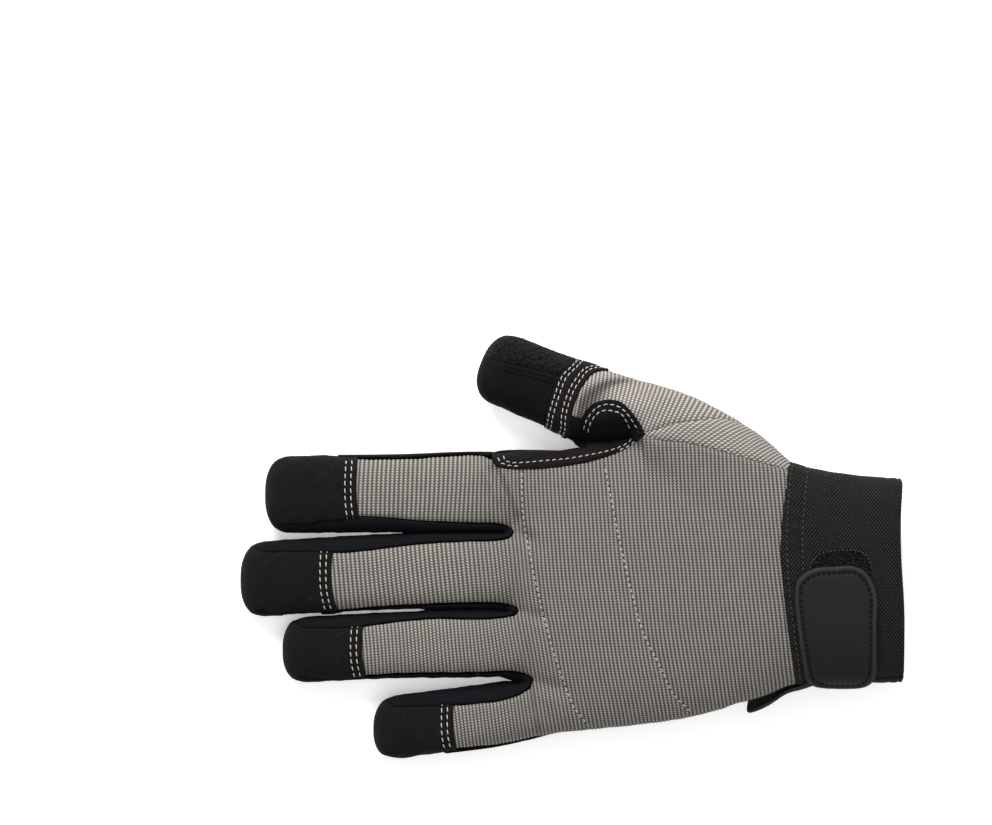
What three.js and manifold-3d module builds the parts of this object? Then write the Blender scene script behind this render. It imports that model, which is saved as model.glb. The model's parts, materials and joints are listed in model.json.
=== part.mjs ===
// A left mechanic glove that lies palm down, as an assembly of sewn pieces.
// Millimetres. +X points from the fingertips to the cuff, +Y to the thumb side and +Z up from the surface.
import * as THREE from 'three';
import { mergeVertices } from 'three/addons/utils/BufferGeometryUtils.js';
import Module from 'manifold-3d';

const wasm = await Module();
wasm.setup();

// Driving dimensions
const WALL = 1.6; // thickness of the knit, the leather and the elastic
const GAP = 0.3; // clearance between neighbouring pieces
const PATCH = 1.2; // thickness of what is sewn on the outside
const TAB = 2.0; // thickness of the moulded closure tab
const BACK_SEAM_Z = 8.3; // height above which the pieces of the back lie
const PALM_SEAM_FINGER_Z = 4.6; // height below which the palm side lies, along the fingers
const PALM_SEAM_HAND_Z = BACK_SEAM_Z - GAP; // the same along the hand
const FINGER_ROUNDING = 10; // radius of a fingertip's corners seen from above
const TIP_WRAP = 3.5; // stretch of a fingertip where the cap goes all the way round
const PRESSED = 1.0; // how far the underside is flattened by the surface it lies on
const FINGER_FULLNESS = 2.6; // superellipse exponent of a finger's section
const HAND_FULLNESS = 2.3; // the same for the hand, the thumb and the cuff
const FINGER_FACETS = 12;
const THUMB_FACETS = 16;
const HAND_FACETS = 26;
const FAR = 60; // reach of a cutting prism above and below the glove
const REACH_X = 200; // its reach along the glove
const KNUCKLES_X = { fingers: -30, hand: -16 }; // where the palm's seam climbs from finger to hand height

// Sections of each finger, from its tip to its root inside the hand
const FINGERS = {
  index: [
    { x: -116.1, y: 19.5, width: 28.2, height: 14.5, floor: 0 },
    { x: -63.5, y: 19.8, width: 28.2, height: 16.5, floor: 0.2 },
    { x: -38, y: 19.9, width: 28.2, height: 17, floor: 1.5 },
    { x: 26, y: 19.5, width: 23, height: 15, floor: 4.5 },
  ],
  middle: [
    { x: -125.4, y: -12.8, width: 27.4, height: 14.5, floor: 0 },
    { x: -63.5, y: -9.6, width: 28.0, height: 16.8, floor: 0.2 },
    { x: -38, y: -9.0, width: 27.8, height: 17.4, floor: 1.5 },
    { x: 26, y: -8.6, width: 23, height: 19, floor: 2.5 },
  ],
  ring: [
    { x: -109.5, y: -39.3, width: 24.2, height: 14, floor: 0 },
    { x: -63.5, y: -37.1, width: 24.4, height: 16, floor: 0.2 },
    { x: -38, y: -36.8, width: 24.6, height: 16.6, floor: 1.5 },
    { x: 26, y: -35, width: 21, height: 19, floor: 2.5 },
  ],
  little: [
    { x: -75.2, y: -69.2, width: 22.8, height: 13, floor: 0 },
    { x: -48, y: -65.9, width: 23.0, height: 14.6, floor: 0.2 },
    { x: -28, y: -63.2, width: 23.0, height: 15.2, floor: 1.5 },
    { x: 22, y: -52, width: 18, height: 14, floor: 5 },
  ],
};

// Sections of the thumb, from its tip to its root inside the hand
const THUMB = [
  { x: -35.4, y: 70.4, width: 26.4, height: 18, floor: 0 },
  { x: -8.3, y: 59.4, width: 27.2, height: 20, floor: 0.2 },
  { x: 14.8, y: 50.0, width: 30.5, height: 22.5, floor: 1.5 },
  { x: 37.7, y: 39.8, width: 37.0, height: 24.5, floor: 1.5 },
  { x: 58.6, y: 24.8, width: 42.0, height: 25.5, floor: 1.5 },
  { x: 70.5, y: 15.2, width: 40.5, height: 25.5, floor: 1.5 },
];

// Sections of the hand and the cuff: thumb edge, little finger edge, and how far the section leans
const HAND = [
  { x: -27, thumbEdge: 34.4, littleEdge: -72.6, height: 13.5, floor: 1.5, lean: -0.115 },
  { x: -20, thumbEdge: 35.2, littleEdge: -72.9, height: 17.5, floor: 1.5, lean: -0.1 },
  { x: -9, thumbEdge: 36.2, littleEdge: -71.2, height: 20.5, floor: 1.5, lean: -0.05 },
  { x: 8, thumbEdge: 38.2, littleEdge: -69.2, height: 23, floor: 1.5, lean: 0 },
  { x: 26, thumbEdge: 41.0, littleEdge: -67.3, height: 25, floor: 1.5, lean: 0 },
  { x: 44, thumbEdge: 43.0, littleEdge: -64.6, height: 26.2, floor: 1.5, lean: 0 },
  { x: 60, thumbEdge: 41.5, littleEdge: -60.2, height: 27, floor: 1.5, lean: 0 },
  { x: 73, thumbEdge: 36.5, littleEdge: -55, height: 26.6, floor: 1.8, lean: 0 },
  { x: 81, thumbEdge: 31.6, littleEdge: -51.2, height: 24.6, floor: 2.8, lean: 0 },
  { x: 90, thumbEdge: 28.8, littleEdge: -50.4, height: 23.6, floor: 3.2, lean: 0 },
  { x: 104, thumbEdge: 26.2, littleEdge: -50.3, height: 24.2, floor: 3.2, lean: 0 },
  { x: 124.6, thumbEdge: 24.9, littleEdge: -50.5, height: 25, floor: 3.2, lean: 0 },
];

// Seams between the finger backs and the strips between the fingers, from the tip to the crotch
const CROTCH_INDEX_MIDDLE = [-22.3, 5.5];
const CROTCH_MIDDLE_RING = [-20.8, -24.2];
const CROTCH_RING_LITTLE = [-15.3, -50.3];
const FINGER_SEAMS = {
  indexThumbSide: [[-112.6, 31.2], [-104, 32.3], [-60, 32.4], [-31.2, 33.2]],
  indexMiddleSide: [[-112.6, 9.6], [-106, 8.6], [-98.5, 9], [-81, 11], [-54, 9.2], [-35.6, 8.4],
    CROTCH_INDEX_MIDDLE],
  middleIndexSide: [[-121.9, -2.6], [-106, -2], [-89.7, -2.2], [-54, 1.5], [-40, 2.3], [-28, 2.8],
    CROTCH_INDEX_MIDDLE],
  middleRingSide: [[-121.9, -22], [-115, -24.2], [-101, -24.7], [-63.5, -22.6], [-35, -21.6],
    CROTCH_MIDDLE_RING],
  ringMiddleSide: [[-106, -31], [-82, -30.4], [-69, -28.5], [-54, -27], [-26.2, -26.8], CROTCH_MIDDLE_RING],
  ringLittleSide: [[-106, -46.5], [-100, -49.3], [-91.6, -49.6], [-63.5, -48.3], [-22, -48],
    CROTCH_RING_LITTLE],
  littleRingSide: [[-71.7, -61], [-48.5, -59.9], [-35.4, -58.9], [-18.5, -55.7], CROTCH_RING_LITTLE],
};

// Where each cap ends, and the strip of the plane that its finger has to itself
const CAPS = {
  index: { edge: -80.9, thumbSide: [50, 50], littleSide: [4.9, 4.9] },
  middle: { edge: -89.7, thumbSide: [4.3, 4.3], littleSide: [-27, -25.4] },
  ring: { edge: -78.6, thumbSide: [-27.2, -25.4], littleSide: [-54, -53] },
  little: { edge: -44.1, thumbSide: [-54.6, -51.6], littleSide: [-95, -95] },
};

// Seams of the thumb side of the back
const SADDLE_INNER = [[-31.2, 33.2], [-29.5, 30.7], [-25.9, 29.4], [-18.5, 29], [-2.2, 30.2], [10.9, 33.1],
  [20.7, 37.1], [26.4, 42.4]];
const SADDLE_OUTER = [[26.4, 42.4], [14.8, 40.2], [6.4, 38.2], [-0.6, 37.4]];
const HALF_MOON = [[-0.6, 43.6], [2.3, 46], [3.2, 49.2], [5.6, 51.8], [9, 54.2], [13.8, 55.1], [18.1, 54.2],
  [21.5, 51.3], [24.4, 47.4], [26.4, 42.4]];
const GUSSET_THUMB_SEAM = [[26.4, 42.4], [31.9, 44.3], [39.4, 46.6], [46, 47.6], [59.1, 48.3]];
const GUSSET_BACK_SEAM = [[26.4, 42.4], [31.9, 40.4], [41.9, 39.3], [52, 37.2], [67.2, 33], [79.8, 29.7]];
const CUFF_SEAM = [[83.4, 40], [81.6, 31.4], [79.1, 16.6], [78.2, 2], [78.7, -13.1], [81.4, -35.3],
  [83.5, -50], [84.5, -66]];

// Seams across and along the thumb
const BAND_TIP_SEAM = [[6, 80], [1.8, 70.8], [-4.9, 64.3], [-7.8, 56.6], [-10.2, 46.5], [-10.8, 41]];
const BAND_HAND_SEAM = [[19, 76], [10.5, 66.6], [5.2, 62.4], [1.8, 56.6], [-0.2, 50.3], [-0.6, 43.6],
  [-0.6, 39.6]];
const TERRY_SEAM = [[-50, 71.2], [-26.1, 69.6], [-16.5, 67.4], [-4.9, 64.3]];
const THUMB_PALM_SEAM = [[8.4, 62.4], [25, 52.5], [40.5, 45], [50, 33.8], [60, 20], [69.5, 11.5], [88, 4]];

// Outlines of what is sewn on the outside
const PALM_PATCH = [[10.3, 30.4], [-18.3, 29.6], [-26.6, 25.8], [-27.7, 20.5], [-25, 15.3], [-16.4, 13.4],
  [-13.4, 10], [-16.4, 2.5], [-29.2, -2.8], [-30, -9.6], [-28, -13], [-19.8, -15.6], [-15.3, -19],
  [-15.7, -23.9], [-18.7, -27.3], [-29.6, -30.3], [-34.5, -34.1], [-34.1, -38.3], [-30.7, -42],
  [-19.8, -42.4], [-10.4, -45], [-7.4, -50], [-9.6, -54.1], [-22, -56.7], [-24, -60], [-19, -63.5],
  [10, -62.5], [40, -58.5], [60, -53], [74, -46.5], [79, -38], [77.2, -14], [74, -9.6], [62, -12.8],
  [48, -16], [34.9, -16.4], [27, -12.6], [20.5, -7], [15.6, 1.3], [12.6, 8.5], [11, 19.4], [12.6, 24.3]];
const THENAR_PATCH = [[16.8, 20.5], [21.7, 24.3], [31.5, 25.8], [37.9, 24.3], [50.7, 16.8], [69.5, 5.5],
  [74, 0.2], [73, -3.2], [57, -7.4], [38.3, -8.1], [26.2, -3.6], [17.9, 5.5], [16, 16.8]];
const LOOP_PATCH = [[84, -38], [83, -20], [86.5, -9], [90.5, -4.3], [96, -1], [104.8, -1], [111, -5.2],
  [112.3, -8.4], [112.3, -38]];
const CLOSURE_TAB = [[84.6, -16.5], [86.7, -11], [92.2, -7.8], [104.9, -6.9], [111.3, -11], [113.9, -16.5],
  [114.1, -70], [91.5, -70], [88.4, -46]];
const STRAP = [[88, -38.6], [112, -38.6], [113, -70], [64, -70], [66.5, -56], [74, -52], [86, -48]];
const STRAP_UNDER = [[66.5, -56], [84, -40], [86, -28.5], [113, -28.5], [113, -70], [64, -70]];
const PULL_TAB = { start: 84, fold: 123.4, freeEnd: 106, low: -24.6, high: -2.2, thickness: 1 };

// Turns a three.js geometry into a solid that can be joined and cut.
function solid(geometry) {
  const plain = geometry.index ? geometry.toNonIndexed() : geometry.clone();
  plain.deleteAttribute('normal');
  plain.deleteAttribute('uv');
  const merged = mergeVertices(plain, 1e-4);
  return new wasm.Manifold(new wasm.Mesh({
    numProp: 3,
    vertProperties: merged.attributes.position.array,
    triVerts: new Uint32Array(merged.index.array),
  }));
}

// Turns a solid back into a geometry.
function geometryOf(shape) {
  const mesh = shape.getMesh();
  const geometry = new THREE.BufferGeometry();
  geometry.setAttribute('position', new THREE.BufferAttribute(new Float32Array(mesh.vertProperties), 3));
  geometry.setIndex(new THREE.BufferAttribute(new Uint32Array(mesh.triVerts), 1));
  geometry.computeVertexNormals();
  return geometry;
}

// The largest body of a cut piece, without the crumbs that a cut through a thin wall leaves.
function mainBody(shape) {
  return shape.decompose().reduce((best, body) => (body.volume() > best.volume() ? body : best));
}

function joined(shapes) {
  return shapes.reduce((whole, shape) => whole.add(shape));
}

// Twice the signed area of an outline, positive when it runs counterclockwise.
function turning(outline) {
  return outline.reduce((sum, [x, y], i) => {
    const [nextX, nextY] = outline[(i + 1) % outline.length];
    return sum + x * nextY - nextX * y;
  }, 0);
}

// Moves each edge of an outline outwards by a distance, or inwards by a negative one.
function grown(outline, distance) {
  if (distance === 0) {
    return outline;
  }
  const side = turning(outline) > 0 ? 1 : -1;
  const count = outline.length;
  const normals = outline.map(([x, y], i) => {
    const [nextX, nextY] = outline[(i + 1) % count];
    const length = Math.hypot(nextX - x, nextY - y);
    return [side * (nextY - y) / length, -side * (nextX - x) / length];
  });
  return outline.map(([x, y], i) => {
    const before = normals[(i + count - 1) % count];
    const after = normals[i];
    const sum = [before[0] + after[0], before[1] + after[1]];
    const scale = distance / Math.max(0.5 * (sum[0] ** 2 + sum[1] ** 2), 0.4);
    return [x + sum[0] * scale, y + sum[1] * scale];
  });
}

// Upright prism over an outline, from one height to another.
function prism(outline, growth = 0, low = -FAR, high = FAR) {
  const shape = new THREE.Shape(grown(outline, growth).map(([x, y]) => new THREE.Vector2(x, y)));
  const geometry = new THREE.ExtrudeGeometry(shape, { depth: high - low, bevelEnabled: false });
  return solid(geometry.translate(0, 0, low));
}

// Prism along Y over an outline of x and z.
function sideways(outline, low = -2 * FAR, high = 2 * FAR) {
  const shape = new THREE.Shape(outline.map(([x, z]) => new THREE.Vector2(x, z)));
  const geometry = new THREE.ExtrudeGeometry(shape, { depth: high - low, bevelEnabled: false });
  return solid(geometry.rotateX(Math.PI / 2).translate(0, high, 0));
}

// Linear reading of a table of sections at one x.
function sectionAt(table, x) {
  const last = table.length - 1;
  let row = table.findIndex((section, i) => i < last && x <= table[i + 1].x);
  row = row < 0 ? last - 1 : row;
  const [from, to] = [table[row], table[row + 1]];
  const share = (x - from.x) / (to.x - from.x);
  const mixed = {};
  for (const key of Object.keys(from)) {
    mixed[key] = from[key] + (to[key] - from[key]) * share;
  }
  return mixed;
}

// One closed ring of points: a superellipse across the glove, flattened at its underside.
function ring({ x, y, acrossX, acrossY, half, floor, height, fullness, facets }, inset) {
  const halfHeight = (height + PRESSED) / 2 - inset;
  const middle = floor + height - (height + PRESSED) / 2;
  const points = [];
  for (let i = 0; i < facets; i += 1) {
    const angle = 2 * Math.PI * (i + 0.5) / facets;
    const [c, s] = [Math.cos(angle), Math.sin(angle)];
    const across = (half - inset) * Math.sign(c) * Math.abs(c) ** (2 / fullness);
    const up = halfHeight * Math.sign(s) * Math.abs(s) ** (2 / fullness);
    points.push([x + acrossX * across, y + acrossY * across, Math.max(middle + up, floor + inset)]);
  }
  return points;
}

// Closed skin over rings of points, with a fan over each end.
function skin(rings) {
  const facets = rings[0].length;
  const positions = rings.flat();
  const index = [];
  for (let row = 0; row + 1 < rings.length; row += 1) {
    for (let i = 0; i < facets; i += 1) {
      const next = (i + 1) % facets;
      const [a, b] = [row * facets + i, row * facets + next];
      index.push(a, b, a + facets, b, b + facets, a + facets);
    }
  }
  const ends = [[0, 1], [(rings.length - 1) * facets, -1]];
  for (const [start, side] of ends) {
    const centre = [0, 1, 2].map((axis) => {
      const values = positions.slice(start, start + facets).map((point) => point[axis]);
      return values.reduce((sum, value) => sum + value, 0) / facets;
    });
    const hub = positions.push(centre) - 1;
    for (let i = 0; i < facets; i += 1) {
      const [a, b] = [start + i, start + (i + 1) % facets];
      index.push(hub, side > 0 ? b : a, side > 0 ? a : b);
    }
  }
  const geometry = new THREE.BufferGeometry();
  geometry.setAttribute('position', new THREE.BufferAttribute(new Float32Array(positions.flat()), 3));
  geometry.setIndex(index);
  return solid(geometry);
}

// A finger or the thumb: a rounded tip and straight stretches between its sections, moved in by the inset.
function digit(table, facets, fullness, inset) {
  const [tip, next] = table;
  const length = Math.hypot(next.x - tip.x, next.y - tip.y);
  const along = [(next.x - tip.x) / length, (next.y - tip.y) / length];
  const rings = [];
  const radius = FINGER_ROUNDING - inset;
  for (const turn of [0, 0.25, 0.55, 1]) {
    const angle = turn * Math.PI / 2;
    const depth = inset + radius * (1 - Math.cos(angle));
    const x = tip.x + along[0] * depth;
    const pulledIn = radius * (1 - Math.sin(angle));
    const lowered = 0.6 * pulledIn;
    const section = sectionAt(table, x);
    rings.push(ring({
      x,
      y: tip.y + along[1] * depth,
      acrossX: -along[1],
      acrossY: along[0],
      half: section.width / 2 - pulledIn,
      floor: section.floor + lowered * 0.5,
      height: section.height - lowered,
      fullness,
      facets,
    }, inset));
  }
  for (let row = 1; row < table.length; row += 1) {
    const before = table[row - 1];
    const after = table[Math.min(row + 1, table.length - 1)];
    const reach = Math.hypot(after.x - before.x, after.y - before.y);
    const heading = [(after.x - before.x) / reach, (after.y - before.y) / reach];
    const section = table[row];
    const shortened = row === table.length - 1 ? inset : 0;
    rings.push(ring({
      x: section.x - heading[0] * shortened,
      y: section.y - heading[1] * shortened,
      acrossX: -heading[1],
      acrossY: heading[0],
      half: section.width / 2,
      floor: section.floor,
      height: section.height,
      fullness,
      facets,
    }, inset));
  }
  return skin(rings);
}

// The hand with the cuff. A hollow runs on past the cuff's mouth.
function hand(inset) {
  const rings = HAND.map((section, i) => {
    const isFirst = i === 0;
    const isLast = i === HAND.length - 1;
    const x = section.x + (isFirst ? inset : 0) + (isLast && inset > 0 ? 5 : 0);
    const half = (section.thumbEdge - section.littleEdge) / 2;
    return ring({
      x: x + section.lean * (section.thumbEdge - half - CROTCH_INDEX_MIDDLE[1]),
      y: section.thumbEdge - half,
      acrossX: section.lean,
      acrossY: 1,
      half,
      floor: section.floor,
      height: section.height,
      fullness: HAND_FULLNESS,
      facets: HAND_FACETS,
    }, inset);
  });
  return skin(rings);
}

// The whole glove as one solid, moved in by an inset, or out by a negative one.
function form(inset) {
  return joined([
    hand(inset),
    digit(THUMB, THUMB_FACETS, HAND_FULLNESS, inset),
    ...Object.values(FINGERS).map((table) => digit(table, FINGER_FACETS, FINGER_FULLNESS, inset)),
  ]);
}

// The space from one distance off the glove's outside to a thickness further out.
function layer(near, thickness) {
  return form(-near - thickness).subtract(form(-near));
}

// Regions of space. Each takes the distance by which it is grown.
function aboveBackSeam(growth) {
  const low = BACK_SEAM_Z - growth;
  return sideways([[-REACH_X, low], [REACH_X, low], [REACH_X, FAR], [-REACH_X, FAR]]);
}

function belowPalmSeam(growth) {
  const handZ = PALM_SEAM_HAND_Z + growth;
  const fingerZ = PALM_SEAM_FINGER_Z + growth;
  return sideways([[-REACH_X, -FAR], [REACH_X, -FAR], [REACH_X, handZ], [KNUCKLES_X.hand, handZ],
    [KNUCKLES_X.fingers, fingerZ], [-REACH_X, fingerZ]]);
}

// Outline of the knit of the back with the tops of the caps, as seen from above.
function backOutline() {
  const seams = FINGER_SEAMS;
  const outside = -FAR - 30;
  return [
    ...seams.indexThumbSide,
    ...SADDLE_INNER.slice(1),
    ...GUSSET_BACK_SEAM.slice(1),
    ...CUFF_SEAM.slice(2),
    [84.5, outside],
    [seams.littleRingSide[0][0], outside],
    ...seams.littleRingSide,
    ...seams.ringLittleSide.slice(0, -1).reverse(),
    ...seams.ringMiddleSide,
    ...seams.middleRingSide.slice(0, -1).reverse(),
    ...seams.middleIndexSide,
    ...seams.indexMiddleSide.slice(0, -1).reverse(),
  ];
}

function backRegion(growth) {
  return prism(backOutline(), growth).intersect(aboveBackSeam(growth));
}

// Strip of the plane that holds one finger as far as its cap goes, or as far as the stretch it wraps.
function capOutline(name, end) {
  const { thumbSide, littleSide } = CAPS[name];
  const start = FINGERS[name][0].x - FAR;
  return [[start, littleSide[0]], [end, littleSide[1]], [end, thumbSide[1]], [start, thumbSide[0]]];
}

function wrapEnd(name) {
  return FINGERS[name][0].x + TIP_WRAP;
}

// Sides of the index and the little finger that face away from the other fingers.
const OUTER_SIDES = [
  [[-160, 19.6], [-16, 19.9], [-16, 36.9], [-26, 48], [-160, 48]],
  [[-160, -79.7], [-75.2, -69.2], [-48, -65.9], [-10, -60.6], [-10, -95], [-160, -95]],
];

function outerSides(growth) {
  return joined(OUTER_SIDES.map((outline) => prism(outline, growth, PALM_SEAM_FINGER_Z - 1, FAR)));
}

// Space between two fingers' centre lines, which the strip between them fills.
function betweenFingers(thumbSideName, littleSideName) {
  const near = FINGERS[thumbSideName];
  const far = FINGERS[littleSideName];
  const [nearX, farX] = [wrapEnd(thumbSideName), wrapEnd(littleSideName)];
  const gapY = CAPS[thumbSideName].littleSide[0];
  const end = -10;
  return prism([
    [nearX, sectionAt(near, nearX).y],
    [near[1].x, near[1].y],
    [end, sectionAt(near, end).y],
    [end, sectionAt(far, end).y],
    [far[1].x, far[1].y],
    [farX, sectionAt(far, farX).y],
    [farX, gapY],
    [nearX, gapY],
  ]);
}

// Outlines on the thumb side
const THUMB_TIP_OUTLINE = [...BAND_TIP_SEAM, [-70, 41], [-70, 110], [6, 110]];
const THUMB_TERRY_OUTLINE = [...BAND_TIP_SEAM.slice(0, 3), ...TERRY_SEAM.slice(0, -1).reverse(), [-50, 110],
  [6, 110]];
const THUMB_BAND_OUTLINE = [...BAND_TIP_SEAM, ...[...BAND_HAND_SEAM].reverse()];
const THUMB_BACK_OUTLINE = [...HALF_MOON, ...GUSSET_THUMB_SEAM.slice(1), [72, 58], [72, 90], [26, 90],
  ...BAND_HAND_SEAM.slice(0, -2)];
const THUMB_SIDE_OUTLINE = [...THUMB_PALM_SEAM, [88, 90], [26, 90], ...BAND_HAND_SEAM.slice(0, 2)];
const THUMB_INNER_OUTLINE = [[-0.6, 43.6], [2.3, 46], [2.3, 37.8], [-0.6, 37.4]];
const CROTCH_OUTLINE = [...HALF_MOON.slice(1), ...SADDLE_OUTER.slice(1, -1), [2.3, 37.8]];
const SADDLE_OUTLINE = [...SADDLE_INNER, ...SADDLE_OUTER.slice(1), [-16, 37.2], [-31.2, 48]];
const GUSSET_OUTLINE = [...GUSSET_THUMB_SEAM, [72, 58], [100, 58], [100, 24],
  ...GUSSET_BACK_SEAM.slice(1).reverse()];
const CUFF_OUTLINE = [...CUFF_SEAM, [160, -66], [160, 40]];

function bandRegion(growth) {
  return prism(THUMB_BAND_OUTLINE, growth);
}

function thumbTipRegion(growth) {
  return prism(THUMB_TIP_OUTLINE, growth);
}

function cuffRegion(growth) {
  return prism(CUFF_OUTLINE, growth);
}

function gussetRegion(growth) {
  return prism(GUSSET_OUTLINE, growth).intersect(aboveBackSeam(growth));
}

function crotchRegion(growth) {
  return prism(CROTCH_OUTLINE, growth).intersect(aboveBackSeam(growth));
}

function saddleRegion(growth) {
  return prism(SADDLE_OUTLINE, growth).intersect(aboveBackSeam(growth));
}

function thumbBackRegion(growth) {
  const side = prism(THUMB_SIDE_OUTLINE, growth, -FAR, BACK_SEAM_Z);
  return prism(THUMB_BACK_OUTLINE, growth).intersect(aboveBackSeam(growth)).add(side);
}

// The shell of the glove, and its pieces cut out of it
const shell = form(0).subtract(form(WALL));

function thumbPieces() {
  const across = (growth) => bandRegion(growth).add(thumbTipRegion(growth));
  const terry = (growth) => prism(THUMB_TERRY_OUTLINE, growth);
  const tip = shell.intersect(thumbTipRegion(0)).subtract(bandRegion(GAP));
  return {
    thumb_tip_terry: tip.intersect(terry(0)),
    thumb_tip_leather: tip.subtract(terry(GAP)),
    thumb_band: shell.intersect(bandRegion(0)).subtract(saddleRegion(GAP)),
    thumb_back: shell.intersect(thumbBackRegion(0)).subtract(across(GAP)).subtract(cuffRegion(GAP))
      .subtract(gussetRegion(GAP)),
    thumb_gusset: shell.intersect(gussetRegion(0)).subtract(cuffRegion(GAP)),
    crotch_patch: shell.intersect(crotchRegion(0)).subtract(thumbBackRegion(GAP)).subtract(gussetRegion(GAP)),
    saddle_strip: shell.intersect(saddleRegion(0)).subtract(crotchRegion(GAP)).subtract(gussetRegion(GAP)),
  };
}

function backPanel() {
  const caps = joined(Object.keys(CAPS).map((name) => prism(capOutline(name, CAPS[name].edge), GAP)));
  return shell.intersect(backRegion(0)).subtract(caps).subtract(saddleRegion(GAP)).subtract(gussetRegion(GAP))
    .subtract(cuffRegion(GAP));
}

function fingertipCaps() {
  const sides = belowPalmSeam(0).add(outerSides(0));
  const tops = backRegion(0);
  return Object.fromEntries(Object.keys(CAPS).map((name) => {
    const wrap = prism(capOutline(name, wrapEnd(name)));
    const cell = prism(capOutline(name, CAPS[name].edge));
    return ['fingertip_cap_' + name, shell.intersect(cell).intersect(joined([sides, tops, wrap]))];
  }));
}

function fourchettes() {
  const pairs = [['index', 'middle'], ['middle', 'ring'], ['ring', 'little']];
  const neighbours = backRegion(GAP).add(belowPalmSeam(GAP));
  return Object.fromEntries(pairs.map(([thumbSideName, littleSideName]) => {
    const wraps = [thumbSideName, littleSideName].map((name) => prism(capOutline(name, wrapEnd(name)), GAP));
    const strip = shell.intersect(betweenFingers(thumbSideName, littleSideName)).subtract(neighbours)
      .subtract(joined(wraps));
    return ['fourchette_' + thumbSideName + '_' + littleSideName, strip];
  }));
}

function palmPanel() {
  const caps = joined(Object.keys(CAPS).map((name) => prism(capOutline(name, CAPS[name].edge), GAP)));
  const thumbInner = prism(THUMB_INNER_OUTLINE, 0, PALM_SEAM_HAND_Z - 1, FAR);
  const region = joined([belowPalmSeam(0), outerSides(0), thumbInner]);
  return shell.intersect(region).subtract(caps).subtract(backRegion(GAP)).subtract(saddleRegion(GAP))
    .subtract(crotchRegion(GAP)).subtract(thumbBackRegion(GAP)).subtract(gussetRegion(GAP))
    .subtract(bandRegion(GAP)).subtract(thumbTipRegion(GAP)).subtract(cuffRegion(GAP));
}

// Pieces that lie on the outside
function sewnOnPieces() {
  const first = layer(GAP, PATCH);
  const second = layer(GAP + PATCH + GAP, TAB);
  const underside = (outline) => first.intersect(prism(outline, 0, -FAR, PALM_SEAM_HAND_Z - 1));
  const upperStrap = first.intersect(prism(STRAP, 0, PALM_SEAM_HAND_Z, FAR));
  const lowerStrap = first.intersect(prism(STRAP_UNDER, 0, -FAR, PALM_SEAM_HAND_Z));
  return {
    palm_patch: underside(PALM_PATCH),
    thenar_patch: underside(THENAR_PATCH),
    loop_patch: first.intersect(prism(LOOP_PATCH, 0, PALM_SEAM_HAND_Z, FAR)),
    closure_strap: upperStrap.add(lowerStrap),
    closure_tab: second.intersect(prism(CLOSURE_TAB, 0, PALM_SEAM_HAND_Z, FAR)),
    pull_tab: pullTab(),
  };
}

// Suede tab sewn under the cuff, its free end folded back under itself.
function pullTab() {
  const { start, fold, freeEnd, low, high, thickness } = PULL_TAB;
  const top = sectionAt(HAND, fold).floor - GAP;
  const slitTop = top - thickness;
  const slitBottom = slitTop - 2 * GAP;
  const bottom = slitBottom - thickness;
  const slitEnd = fold - thickness;
  return sideways([[start, slitTop], [slitEnd, slitTop], [slitEnd, slitBottom], [freeEnd, slitBottom],
    [freeEnd, bottom], [fold, bottom], [fold, top], [start, top]], low, high);
}

// Colour, roughness and metalness of each material
const MATERIALS = {
  knit: { color: 0xaaa59f, roughness: 0.85, metalness: 0 },
  suede: { color: 0x1d1b1a, roughness: 0.9, metalness: 0 },
  smooth_stretch: { color: 0x15151b, roughness: 0.7, metalness: 0 },
  terry: { color: 0x161f23, roughness: 0.95, metalness: 0 },
  elastic: { color: 0x242221, roughness: 0.85, metalness: 0 },
  loop_pile: { color: 0x1c1a1a, roughness: 0.95, metalness: 0 },
  moulded_rubber: { color: 0x303234, roughness: 0.6, metalness: 0 },
};

const PIECE_MATERIALS = {
  back_panel: 'knit',
  thumb_back: 'knit',
  thumb_gusset: 'knit',
  thumb_tip_terry: 'terry',
  cuff_band: 'elastic',
  loop_patch: 'loop_pile',
  closure_tab: 'moulded_rubber',
};

function materialFor(name) {
  const slot = name.startsWith('fourchette') ? 'smooth_stretch' : PIECE_MATERIALS[name] || 'suede';
  return new THREE.MeshStandardMaterial({ name: slot, ...MATERIALS[slot] });
}

const pieces = {
  back_panel: backPanel(),
  ...fingertipCaps(),
  ...fourchettes(),
  palm_panel: palmPanel(),
  ...thumbPieces(),
  cuff_band: shell.intersect(cuffRegion(0)),
  ...sewnOnPieces(),
};

const glove = new THREE.Group();
for (const [name, shape] of Object.entries(pieces)) {
  const mesh = new THREE.Mesh(geometryOf(mainBody(shape)), materialFor(name));
  mesh.name = name;
  glove.add(mesh);
}

// The origin is the middle of the glove's outline, on the surface that it lies on.
const box = new THREE.Box3().setFromObject(glove);
const centre = box.getCenter(new THREE.Vector3());
glove.position.set(-centre.x, -centre.y, -box.min.z);

export default glove;
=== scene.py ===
"""Looks of a left mechanic glove that lies palm down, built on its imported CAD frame.

Lengths in the tables are millimetres in the plan: +X points from the fingertips to the cuff, +Y to the
thumb side and +Z up from the surface that the glove lies on.
"""
import json
import math

import bpy
import numpy as np
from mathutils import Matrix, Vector
from mathutils.bvhtree import BVHTree
from mathutils.geometry import delaunay_2d_cdt

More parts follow.
